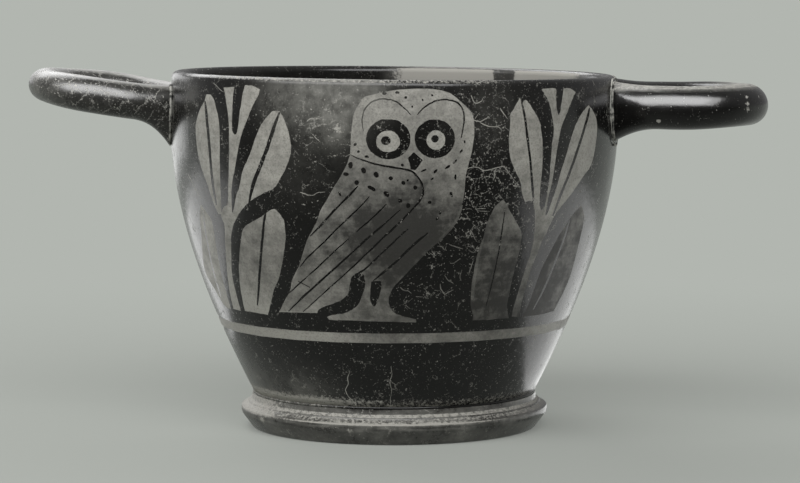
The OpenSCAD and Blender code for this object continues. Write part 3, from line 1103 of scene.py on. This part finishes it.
def footProfile():
    edge = foot["edgeRound"]
    noseMiddle = (foot["noseRadius"] - foot["noseRound"], foot["noseZ"])
    restInner = foot["restOuter"] - foot["restWidth"]
    innerRound = foot["innerRound"]
    inSpot, outSpot = foot["restSpots"]
    profile = [(restInner + innerRound, 0), (restInner + inSpot, 0), (foot["restOuter"] - edge - outSpot, 0)]
    profile += arcPoints((foot["restOuter"] - edge, edge), edge, -90, foot["noseLow"], foot["edgeSteps"])
    profile += arcPoints(noseMiddle, foot["noseRound"], foot["noseLow"], foot["noseHigh"], foot["noseSteps"])
    profile += [foot["edge"]]
    step = foot["step"]
    bend = (step[0] + foot["slopeBend"][0], step[1] + foot["slopeBend"][1])
    slopeEnd = (step[0] + foot["slopeEnd"][0], step[1] + foot["slopeEnd"][1])
    profile += curveBetween(foot["edge"], bend, slopeEnd, foot["slopeSteps"])
    profile += [step]
    collarFoot = foot["collarFoot"]
    bend = (collarFoot[0] + foot["collarBend"][0], step[1] + foot["collarBend"][1])
    profile += curveBetween(step, bend, collarFoot, foot["collarSteps"])
    profile += [(foot["collarRadius"], foot["height"])]
    profile += [(radius, foot["height"]) for radius in (*foot["topSpots"], foot["innerTop"])]
    for i in range(1, foot["recessSteps"] + 1):
        share = i / foot["recessSteps"]
        spot = (mix(foot["innerTop"], restInner, share), mix(foot["height"], innerRound, share))
        profile.append(spot)
    profile += [(restInner + foot["innerCut"], foot["innerCut"]), (restInner + innerRound, 0)]
    return profile


footRing = spinProfile("foot_ring_thrown", footProfile(), foot["steps"])
beadRound = slip["thick"] / 2
beadTop = foot["height"] + slip["thick"]
beadMiddle = (bowl["baseRadius"] - slip["sunk"], foot["height"] + beadRound)
lutingProfile = [(foot["innerTop"], beadTop), (foot["innerTop"], foot["height"])]
lutingProfile += arcPoints(beadMiddle, beadRound, -90, 90, slip["beadSteps"])
lutingProfile += [(foot["innerTop"], beadTop)]
footLuting = spinProfile("foot_luting_slip", lutingProfile, foot["steps"])
print("foot spun")


# everything inside the wall's outer face, grown by the slip: the handles are cut back to it
cutter = {
    "levels": (20, 40, 52, 58, 62, 66, 70, 73, 76, 78.6),
    "top": 100,
    "steps": 192,
}


def makeCutter():
    profile = [(0, cutter["levels"][0])]
    profile += [(wallRadius(z) + slip["thick"], z) for z in cutter["levels"]]
    profile += [(wallRadius(lipZ) + slip["thick"], cutter["top"]), (0, cutter["top"])]
    return spinProfile("wallCutter", profile, cutter["steps"])


# the handles: rolled bars bent to a horseshoe and pressed on below the rim
rightHandle = {
    "side": 1,
    "thick": 9.6,
    "rise": 0.8,
    "out": 33.65,
    "axisZ": 72.6,
    "bowRadius": 15,
    "bowTurn": 122,
    "bowSteps": 48,
    "legDepth": 7,           # how far a leg runs on inside the wall before it is cut
    "legSteps": 18,
    "rootLength": 10,
    "rootInset": -1.5,
    "rootLimit": 1.6,        # the root stops widening here, inside the wall
    "rootCurve": 2,
    "rootWiden": 0.1,
    "rootUp": 1.2,
    "rootDown": 3.2,
    "tipScale": 0.98,        # how much thinner the bar is at the tip of the bow
    "tipReach": 1.5,         # radians from the tip to where it is full again
    "uneven": 0.3,
    "unevenUp": 0.07,        # grain of the unevenness, up and outwards
    "unevenOut": 0.05,
    "around": 40,
}
leftHandle = dict(rightHandle, side=-1, thick=8.3, rise=8.6, out=32.9, axisZ=73, bowTurn=119,
                  rootLength=8, rootCurve=2.2, rootUp=0.5, rootDown=4.5, tipScale=0.84)
fullestRadius = bowl["rimRadius"] + bowl["rimDraw"]


def makeHandle(name, shape, wallShape):
    half = shape["thick"] / 2
    bow = shape["bowRadius"]
    rise = math.radians(shape["rise"])
    bowX = (shape["out"] - half) / math.cos(rise) - bow
    deselectAll()
    bpy.ops.mesh.primitive_circle_add(
        vertices=shape["around"], radius=mm(half), location=(mm(bow), 0, 0), rotation=(math.pi / 2, 0, 0)
    )
    handle = bpy.context.object
    handle.name = name
    bpy.ops.object.transform_apply(location=True, rotation=True, scale=True)
    bpy.ops.object.mode_set(mode="EDIT")
    bpy.ops.mesh.select_all(action="SELECT")
    turn = math.radians(shape["bowTurn"])
    bpy.ops.mesh.spin(steps=shape["bowSteps"], angle=turn, center=(0, 0, 0), axis=(0, 0, 1))
    # the leg: extruded straight on from the end of the bow until it is inside the wall
    handle.update_from_editmode()
    x = bow * math.cos(turn)
    y = bow * math.sin(turn)
    away = -1 if sum(v.co.y for v in handle.data.vertices) < 0 else 1
    along = Vector((-math.sin(turn), math.cos(turn) * away, 0))
    legLength = (bowX + x) / math.sin(turn) + shape["legDepth"]
    for _ in range(shape["legSteps"]):
        move = along * mm(legLength / shape["legSteps"])
        bpy.ops.mesh.extrude_region_move(TRANSFORM_OT_translate={"value": tuple(move)})
    bpy.ops.mesh.edge_face_add()
    bpy.ops.object.mode_set(mode="OBJECT")
    applyModifier(handle, "MIRROR", use_axis=(False, True, False), merge_threshold=0.00002)
    upSeed = Vector((3 * shape["side"], 0, 0))
    outSeed = Vector((7, 2, shape["side"]))
    for vertex in handle.data.vertices:
        place = vertex.co * 1000
        # the bar thins towards the tip of the bow
        angle = math.atan2(place.y, place.x)
        if abs(angle) < turn:
            thin = mix(shape["tipScale"], 1, smoothStep(0, shape["tipReach"], abs(angle)))
            line = Vector((bow * math.cos(angle), bow * math.sin(angle), 0))
            place = line + (place - line) * thin
        # and widens into its root, most of all below
        legStart = Vector((x, math.copysign(y, place.y), 0))
        legWay = Vector((along.x, math.copysign(along.y, place.y), 0))
        fromStart = place - legStart
        reach = fromStart.dot(legWay)
        toWall = (bowX + place.x) - shape["rootInset"]
        flare = min(shape["rootLimit"], max(0, 1 - toWall / shape["rootLength"])) ** shape["rootCurve"]
        if flare > 0:
            side = fromStart - legWay * reach
            side.z = 0
            place += side * shape["rootWiden"] * flare / half
            place.z *= 1 + (shape["rootUp"] if place.z > 0 else shape["rootDown"]) * flare / half
        # small unevenness of a bar rolled by hand
        place.z += shape["uneven"] * noise.noise(place * shape["unevenUp"] + upSeed)
        place.x += shape["uneven"] * noise.noise(place * shape["unevenOut"] + outSeed)
        vertex.co = place / 1000
    handle.data.transform(Matrix.Translation((mm(bowX), 0, 0)))
    handle.data.transform(Matrix.Rotation(-rise, 4, "Y"))
    handle.data.transform(Matrix.Translation((mm(fullestRadius), 0, mm(shape["axisZ"]))))
    if shape["side"] < 0:
        handle.data.transform(Matrix.Scale(-1, 4, (1, 0, 0)))
    closeMesh(handle)
    applyModifier(handle, "BOOLEAN", operation="DIFFERENCE", object=wallShape, solver="EXACT")
    return handle


def rootOutline(handle, shape, face):
    # the loop where one root meets the wall, in order
    flushWithin = 0.15
    mesh = handle.data
    counts = {}
    for polygon in mesh.polygons:
        flush = True
        for index in polygon.vertices:
            place = mesh.vertices[index].co * 1000
            gap = math.hypot(place.x, place.y) - wallRadius(min(lipZ, place.z)) - slip["thick"]
            flush = flush and abs(gap) < flushWithin
        middle = polygon.center
        inward = polygon.normal.x * middle.x + polygon.normal.y * middle.y < 0
        if flush and inward and middle.y * face > 0:
            for key in polygon.edge_keys:
                counts[key] = counts.get(key, 0) + 1
    border = [key for key, count in counts.items() if count == 1]
    nextTo = {}
    for a, b in border:
        nextTo.setdefault(a, []).append(b)
        nextTo.setdefault(b, []).append(a)
    start = min(nextTo)
    loop = [start]
    previous, here = None, start
    while True:
        options = [v for v in nextTo[here] if v != previous]
        if not options or options[0] == start or len(loop) > len(nextTo):
            break
        previous, here = here, options[0]
        loop.append(here)
    return [mesh.vertices[i].co * 1000 for i in loop]


def resample(loop, count):
    spans = [(loop[(i + 1) % len(loop)] - loop[i]).length for i in range(len(loop))]
    total = sum(spans)
    points = []
    i, walked = 0, 0.0
    for k in range(count):
        target = total * k / count
        while walked + spans[i] < target:
            walked += spans[i]
            i += 1
        share = (target - walked) / spans[i] if spans[i] else 0
        points.append(loop[i].lerp(loop[(i + 1) % len(loop)], share))
    return points


beads = {
    "points": 72,
    "thick": 0.32,           # how far a bead stands proud of the joint
    "sink": 1.7,             # the bead's radius is its thickness divided by this
    "lie": 0.3,              # how far its middle lies off the wall
    "single": 0.1,           # how far a single bead lies outside the root
    "groove": 1.2,           # distance between the two beads of a double seam
    "highest": 79,           # no slip goes above this level, where the lip begins to turn
    "thinnest": 0.3,         # thickness along a bead, as shares: least, mean, and how much it varies
    "mean": 0.85,
    "lumps": 0.9,
    "lumpGrain": 0.6,
    "seedStep": 5,
    "roundSteps": 3,
}


def beadCurve(ring, middle, offset, number):
    bpy.ops.curve.primitive_bezier_circle_add()
    curve = bpy.context.object
    curve.data.splines.clear()
    spline = curve.data.splines.new("POLY")
    spline.points.add(len(ring) - 1)
    for point, place in zip(spline.points, ring):
        away = place - middle
        flat = Vector((place.x, place.y, 0)).normalized()
        away -= flat * away.dot(flat)
        spot = place + away.normalized() * offset
        z = min(spot.z, beads["highest"])
        radius = wallRadius(z) + beads["lie"]
        turned = Vector((spot.x, spot.y, 0)).normalized() * radius
        point.co = (mm(turned.x), mm(turned.y), mm(z), 1)
        seed = Vector((number * beads["seedStep"], 0, 0))
        lump = beads["lumps"] * noise.noise(place * beads["lumpGrain"] + seed)
        point.radius = max(beads["thinnest"], beads["mean"] + lump)
    spline.use_cyclic_u = True
    curve.data.dimensions = "3D"
    curve.data.bevel_depth = mm(beads["thick"] / beads["sink"])
    curve.data.bevel_resolution = beads["roundSteps"]
    selectOnly(curve)
    bpy.ops.object.convert(target="MESH")
    return bpy.context.object


def rootPad(ring, middle):
    # the slip under the root: the outline filled and thickened back to the wall
    outer = [mmVector(place) for place in ring]
    inner = []
    for place in ring:
        flat = Vector((place.x, place.y, 0)).normalized()
        radius = wallRadius(min(place.z, beads["highest"]))
        inner.append(mmVector(Vector((flat.x * radius, flat.y * radius, place.z))))
    flat = Vector((middle.x, middle.y, 0)).normalized()
    level = Vector((0, 0, middle.z))
    middles = [mmVector(flat * (wallRadius(middle.z) + off) + level) for off in (slip["thick"], 0)]
    count = len(ring)
    sides = [(i, (i + 1) % count, count + (i + 1) % count, count + i) for i in range(count)]
    fans = [(i, (i + 1) % count, 2 * count) for i in range(count)]
    backs = [(count + (i + 1) % count, count + i, 2 * count + 1) for i in range(count)]
    mesh = bpy.data.meshes.new("pad")
    mesh.from_pydata(outer + inner + middles, [], sides + fans + backs)
    pad = bpy.data.objects.new("pad", mesh)
    bpy.context.collection.objects.link(pad)
    return pad


def makeBead(name, loop, double):
    ring = resample(loop, beads["points"])
    middle = sum(ring, Vector()) / len(ring)
    offsets = [0, beads["groove"]] if double else [beads["single"]]
    parts = [beadCurve(ring, middle, offset, number) for number, offset in enumerate(offsets)]
    selectOnly(rootPad(ring, middle), *parts)
    bpy.ops.object.join()
    bead = bpy.context.object
    bead.name = name
    closeMesh(bead)
    return bead


def evenTriangles(item):
    # so that the cut ends hold no slivers
    selectOnly(item)
    bpy.ops.object.mode_set(mode="EDIT")
    bpy.ops.mesh.select_all(action="SELECT")
    bpy.ops.mesh.remove_doubles(threshold=mm(0.02))
    bpy.ops.mesh.quads_convert_to_tris(quad_method="BEAUTY", ngon_method="BEAUTY")
    bpy.ops.object.mode_set(mode="OBJECT")


wallCutter = makeCutter()
handlePieces = {}
beadPieces = {}
for sideName, shape in (("left", leftHandle), ("right", rightHandle)):
    handle = makeHandle(sideName + "_handle_rolled", shape, wallCutter)
    handlePieces[sideName] = handle
    for faceName, face in (("front", -1), ("back", 1)):
        rootName = sideName + "_" + faceName
        outline = rootOutline(handle, shape, face)
        print(sideName, faceName, "root outline:", len(outline), "points")
        beadPieces[rootName] = makeBead(rootName + "_luting_slip", outline, sideName == "right")
bpy.data.objects.remove(wallCutter)
for handle in handlePieces.values():
    evenTriangles(handle)
for item in [footRing, footLuting, *handlePieces.values(), *beadPieces.values()]:
    selectOnly(item)
    bpy.ops.object.shade_smooth_by_angle(angle=math.radians(smoothWithin))
print("handles made")


# small places on the foot where the gloss has gone: middle, radius, strength
footFlecks = [
    (Vector((-28.3, -20.1, 3.6)), 1.7, 0.62),
    (Vector((-24.5, -24, 2.2)), 1.3, 0.6),
    (Vector((-8, -33.6, 3.4)), 1.2, 0.6),
    (Vector((22, -26.5, 3)), 1, 0.58),
]


# wear of the foot ring, with a painted highlight along its sharp edge: each pair is a soft edge's two ends or
# an amount at its two ends
footWornAndHighlit = {
    "least": 0.2,
    "outerRadius": 31,       # the recess isn't worn
    "edgeZ": 4.8,            # the sharp edge, worn and painted as a highlight line, most of all in the middle
    "edgeReach": 0.25,
    "edgeSides": (10, 30),
    "edgeAmounts": (0.85, 0.45),
    "lowFrom": (5.05, 5.2),  # the band below the step
    "lowTo": (5.85, 6),
    "low": 0.51,
    "highFrom": (5.95, 6.05),        # and the one above it
    "highTo": (6.7, 6.9),
    "high": 0.56,
    "leftSide": (10, 28),
    "leftLevels": (3.6, 4.8),
    "left": 0.58,
    "restLevels": (0.0, 0.2),        # the face that the cup stands on
    "rest": 0.6,
}


def footWearAndHighlight(place):
    z = place.z
    amount = footWornAndHighlit["least"]
    if math.hypot(place.x, place.y) > footWornAndHighlit["outerRadius"]:
        edgeShare = mix(*footWornAndHighlit["edgeAmounts"], smoothStep(*footWornAndHighlit["edgeSides"], abs(place.x)))
        edge = math.exp(-((z - footWornAndHighlit["edgeZ"]) / footWornAndHighlit["edgeReach"]) ** 2) * edgeShare
        low = between(footWornAndHighlit["lowFrom"], footWornAndHighlit["lowTo"], z) * footWornAndHighlit["low"]
        high = between(footWornAndHighlit["highFrom"], footWornAndHighlit["highTo"], z) * footWornAndHighlit["high"]
        left = smoothStep(*footWornAndHighlit["leftSide"], -place.x) * footWornAndHighlit["left"]
        left *= smoothStep(*footWornAndHighlit["leftLevels"], z)
        amount = strongest(place, footFlecks, max(amount, edge, low, high, left))
    return max(amount, footWornAndHighlit["rest"] * (1 - smoothStep(*footWornAndHighlit["restLevels"], z)))


# hazy streaks round the nose, and a broad rubbed part at the left
footRubbed = {
    "haze": 0.52,
    "streak": 0.6,
    "grainAcross": 0.12,
    "grainUp": 1.6,
    "leftSide": (14, 30),
    "leftLevels": (2.5, 4.5),
    "left": 0.55,
    "highFrom": (5.9, 6.1),
    "highTo": (6.8, 7.1),
    "high": 0.6,
}


def footVeil(place):
    across, up = footRubbed["grainAcross"], footRubbed["grainUp"]
    streak = noise.noise(Vector((place.x * across, place.y * across, place.z * up)))
    left = smoothStep(*footRubbed["leftSide"], -place.x) * smoothStep(*footRubbed["leftLevels"], place.z)
    high = between(footRubbed["highFrom"], footRubbed["highTo"], place.z) * footRubbed["high"]
    return max(footRubbed["haze"] + footRubbed["streak"] * streak, footRubbed["left"] * left, high)


# the foot's slip is worn at the left and painted over with gloss further on
footSlipWorn = {
    "wearSide": (-20, 5),
    "wearAndHighlight": (0.5, 0.3),
    "veilSide": (-24, -4),
    "veil": (0.4, 0),
}


def footSlipWear(place):
    return mix(*footSlipWorn["wearAndHighlight"], smoothStep(*footSlipWorn["wearSide"], place.x))


def footSlipVeil(place):
    return mix(*footSlipWorn["veil"], smoothStep(*footSlipWorn["veilSide"], place.x))


# where fingers have rubbed the handles, and a painted highlight along their tops: the tops of the bars from
# this share of their half thickness on, the left tip from the inside of its bow outwards, and the right one's
# near leg and tip
handleRubAndHighlight = {
    "leftTop": (0.8, 0.92),
    "leftAmount": 0.8,
    "leftTip": (66, 80),
    "leftTipAmounts": (0.15, 0.25),
    "rightTop": (0.74, 0.88),
    "rightNear": (0, 4),
    "rightTip": (70, 78),
    "rightWearAndHighlight": (0.16, 0.5),
}


def topShare(place, shape):
    # how near a place on a handle lies to the top of its bar: 1 is the top
    axisZ = shape["axisZ"] + (abs(place.x) - fullestRadius) * math.tan(math.radians(shape["rise"]))
    return (place.z - axisZ) / (shape["thick"] / 2)


# greys the top of the left bar as rubbed gloss and a painted highlight, and its tip a little as rubbed gloss
def leftHandleVeil(place):
    least, more = handleRubAndHighlight["leftTipAmounts"]
    tip = least + more * smoothStep(*handleRubAndHighlight["leftTip"], -place.x)
    top = smoothStep(*handleRubAndHighlight["leftTop"], topShare(place, leftHandle))
    return max(tip, handleRubAndHighlight["leftAmount"] * top)


# greys the top of the right bar's near leg and tip as rubbed gloss and a painted highlight
def rightHandleVeil(place):
    near = smoothStep(*handleRubAndHighlight["rightNear"], -place.y)
    tip = smoothStep(*handleRubAndHighlight["rightTip"], place.x)
    return smoothStep(*handleRubAndHighlight["rightTop"], topShare(place, rightHandle)) * max(near, tip)


# small places on the right handle where the gloss has gone: middle in millimetres, radius, strength
rightHandleFlecks = [
    (Vector((59, -18.1, 69.9)), 0.7, 1),
    (Vector((78.6, -13, 75)), 0.7, 0.85),
    (Vector((78.5, -13.7, 73.5)), 0.8, 0.85),
    (Vector((78.8, -13.3, 72.1)), 0.7, 0.8),
    (Vector((81.6, -8.8, 74.9)), 0.6, 0.95),
]


# bares the clay most along those same tops, partly as a painted highlight
def rightHandleWearAndHighlight(place):
    bareClay = mix(*handleRubAndHighlight["rightWearAndHighlight"], rightHandleVeil(place))
    return strongest(place, rightHandleFlecks, bareClay)


surfaceWearAndHighlight = [
    (footRing, {"wearAndHighlight": footWearAndHighlight, "veil": footVeil, "craze": 0.5}),
    (footLuting, {"wearAndHighlight": footSlipWear, "veil": footSlipVeil}),
    (handlePieces["left"], {"wearAndHighlight": 0.34, "craze": 0.9, "veil": leftHandleVeil}),
    (handlePieces["right"], {"wearAndHighlight": rightHandleWearAndHighlight, "craze": 0.1, "veil": rightHandleVeil}),
]
for item, rules in surfaceWearAndHighlight:
    for name, rule in rules.items():
        layer = item.data.attributes.new(name, "FLOAT", "POINT")
        for vertex in item.data.vertices:
            layer.data[vertex.index].value = rule(vertex.co * 1000) if callable(rule) else rule
    item.data.materials.clear()
    item.data.materials.append(glossSlip)
for item in beadPieces.values():
    item.data.materials.clear()
    item.data.materials.append(luting)
print("surfaces worn")

pieces = [
    (bowlPiece, "bowl", "painted_clay"),
    (footRing, "foot_ring", "gloss_clay"),
    (footLuting, "foot_luting", "luting_clay"),
    (handlePieces["left"], "left_handle", "gloss_clay"),
    (handlePieces["right"], "right_handle", "gloss_clay"),
]
for rootName, bead in beadPieces.items():
    pieces.append((bead, rootName + "_luting", "luting_clay"))
for piece, node, slotName in pieces:
    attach(piece, "root")
    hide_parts(node)

# the studio: a pale floor that runs out of sight, and soft lamps
studio = {
    "background": "#b2b6b0",
    "floorAlbedo": "#969994",
    "floorRadius": 30,       # metres
    "shadowReach": (0.08, 0.34),
    "shadowFill": 0.35,      # how much the shadow is lightened for the camera
    "dimFloor": (-0.2, 0.15),
    "dimTone": 0.12,
    "worldReach": (-0.9, 0.35),      # from the dim front of the room to its pale back
    "worldFront": 0.03,
    "worldBack": 0.3,
}
# azimuth 0 is the picture side and turns towards +X; distances and sizes are in metres, powers in watts
roomLamps = {
    "window": {"azimuth": -12, "elevation": 44, "distance": 1.25, "size": (2.3, 0.8), "power": 27},
    "backLight": {"azimuth": -148, "elevation": 42, "distance": 1.2, "size": (0.8, 0.8), "power": 8},
}
glossLamps = {
    "handleGlint": {"azimuth": -8, "elevation": 44, "distance": 1.25, "size": (3.2, 1.3), "power": 105},
    "leftPanel": {"azimuth": 183, "elevation": 26, "distance": 1.3, "size": (2.6, 1.1), "power": 9},
    "leftEdge": {"azimuth": -141, "elevation": 6, "distance": 0.5, "size": (0.3, 0.2), "power": 0.28},
}
cards = {
    "leftCard": {"place": (-205, 90), "turn": 28, "size": (0.2, 0.22), "power": 0.22},
    "rightCard": {"place": (150, 50), "turn": -33, "size": (0.2, 0.2), "power": 0.15},
}


def addFloor():
    deselectAll()
    bpy.ops.mesh.primitive_circle_add(vertices=96, radius=studio["floorRadius"], fill_type="NGON")
    floor = bpy.context.object
    floor.name = "floor"
    material, tree, output, place = newMaterial("paleFloor")
    near = addNode(tree, "ShaderNodeVectorMath", links={0: place}, operation="LENGTH")
    fade = addNode(tree, "ShaderNodeMapRange",
                   {1: studio["shadowReach"][0], 2: studio["shadowReach"][1], 3: studio["shadowFill"]},
                   {0: near.outputs["Value"]}, interpolation_type="SMOOTHSTEP")
    rays = addNode(tree, "ShaderNodeLightPath")
    seen = addNode(tree, "ShaderNodeMath",
                   links={0: rays.outputs["Is Camera Ray"], 1: rays.outputs["Is Glossy Ray"]},
                   operation="MAXIMUM")
    share = addNode(tree, "ShaderNodeMath", links={0: fade.outputs[0], 1: seen.outputs[0]},
                    operation="MULTIPLY")
    mirrored = addNode(tree, "ShaderNodeMath",
                       links={0: share.outputs[0], 1: rays.outputs["Is Glossy Ray"]},
                       operation="MAXIMUM")
    matt = addNode(tree, "ShaderNodeBsdfDiffuse", {"Color": linear(studio["floorAlbedo"])})
    # the gloss reflects a dim room in front of the cup and a pale one behind it
    depth = addNode(tree, "ShaderNodeSeparateXYZ", links={0: place}).outputs["Y"]
    behind = addNode(tree, "ShaderNodeMapRange",
                     {1: studio["dimFloor"][0], 2: studio["dimFloor"][1], 3: studio["dimTone"], 4: 1},
                     {0: depth}, interpolation_type="SMOOTHSTEP")
    strength = addNode(tree, "ShaderNodeMath",
                       links={0: behind.outputs[0], 1: rays.outputs["Is Camera Ray"]},
                       operation="MAXIMUM")
    even = addNode(tree, "ShaderNodeEmission", {"Color": linear(studio["background"])},
                   {"Strength": strength.outputs[0]})
    both = addNode(tree, "ShaderNodeMixShader",
                   links={0: mirrored.outputs[0], 1: matt.outputs[0], 2: even.outputs[0]})
    tree.links.new(both.outputs[0], output.inputs[0])
    floor.data.materials.append(material)


def setWorld():
    world = bpy.data.worlds.new("studio")
    bpy.context.scene.world = world
    world.use_nodes = True
    tree = world.node_tree
    tree.nodes.clear()
    output = addNode(tree, "ShaderNodeOutputWorld")
    way = addNode(tree, "ShaderNodeTexCoord").outputs["Generated"]
    parts = addNode(tree, "ShaderNodeSeparateXYZ", links={0: way})
    strength = addNode(tree, "ShaderNodeMapRange",
                       {1: studio["worldReach"][0], 2: studio["worldReach"][1], 3: studio["worldFront"],
                        4: studio["worldBack"]},
                       {0: parts.outputs["Y"]}, interpolation_type="SMOOTHSTEP")
    room = addNode(tree, "ShaderNodeBackground", {"Color": (1, 1, 1, 1)},
                   {"Strength": strength.outputs[0]})
    wallColour = addNode(tree, "ShaderNodeBackground", {"Color": linear(studio["background"])})
    rays = addNode(tree, "ShaderNodeLightPath")
    both = addNode(tree, "ShaderNodeMixShader",
                   links={0: rays.outputs["Is Camera Ray"], 1: room.outputs[0], 2: wallColour.outputs[0]})
    tree.links.new(both.outputs[0], output.inputs[0])


def addLamp(name, azimuth, elevation, distance, size, power, glossOnly=False):
    turn = math.radians(azimuth)
    lift = math.radians(elevation)
    way = Vector((math.sin(turn) * math.cos(lift), -math.cos(turn) * math.cos(lift), math.sin(lift)))
    bpy.ops.object.light_add(type="AREA")
    lamp = bpy.context.object
    lamp.name = name
    lamp.data.shape = "RECTANGLE"
    lamp.data.size, lamp.data.size_y = size
    lamp.data.energy = power
    lamp.location = way * distance + Vector((0, 0, 0.05))
    lamp.rotation_euler = way.to_track_quat("Z", "Y").to_euler()
    lamp.visible_camera = False
    lamp.visible_diffuse = not glossOnly
    return lamp


def addCard(name, place, turn, size, power):
    # a card on the floor that throws light up at the cup's side
    bpy.ops.object.light_add(type="AREA", location=(mm(place[0]), mm(place[1]), 0.001))
    card = bpy.context.object
    card.name = name
    card.rotation_euler = (math.pi, 0, math.radians(turn))
    card.data.shape = "RECTANGLE"
    card.data.size, card.data.size_y = size
    card.data.energy = power
    card.visible_camera = False
    card.visible_diffuse = False
    return card


def lightOnly(lamp, items):
    # the lamp reaches only these pieces
    lit = bpy.data.collections.new(lamp.name + "Lit")
    for item in items:
        lit.objects.link(item)
    lamp.light_linking.receiver_collection = lit


addFloor()
setWorld()
for name, lamp in roomLamps.items():
    addLamp(name, **lamp)
litByLamp = {
    "handleGlint": list(handlePieces.values()),
    "leftPanel": [handlePieces["left"]],
    "leftEdge": [bowlPiece, footRing],
}
for name, lamp in glossLamps.items():
    lightOnly(addLamp(name, glossOnly=True, **lamp), litByLamp[name])
for name, card in cards.items():
    lightOnly(addCard(name, **card), [bowlPiece, footRing])
bpy.context.scene.view_settings.view_transform = "Standard"
print("studio lit")
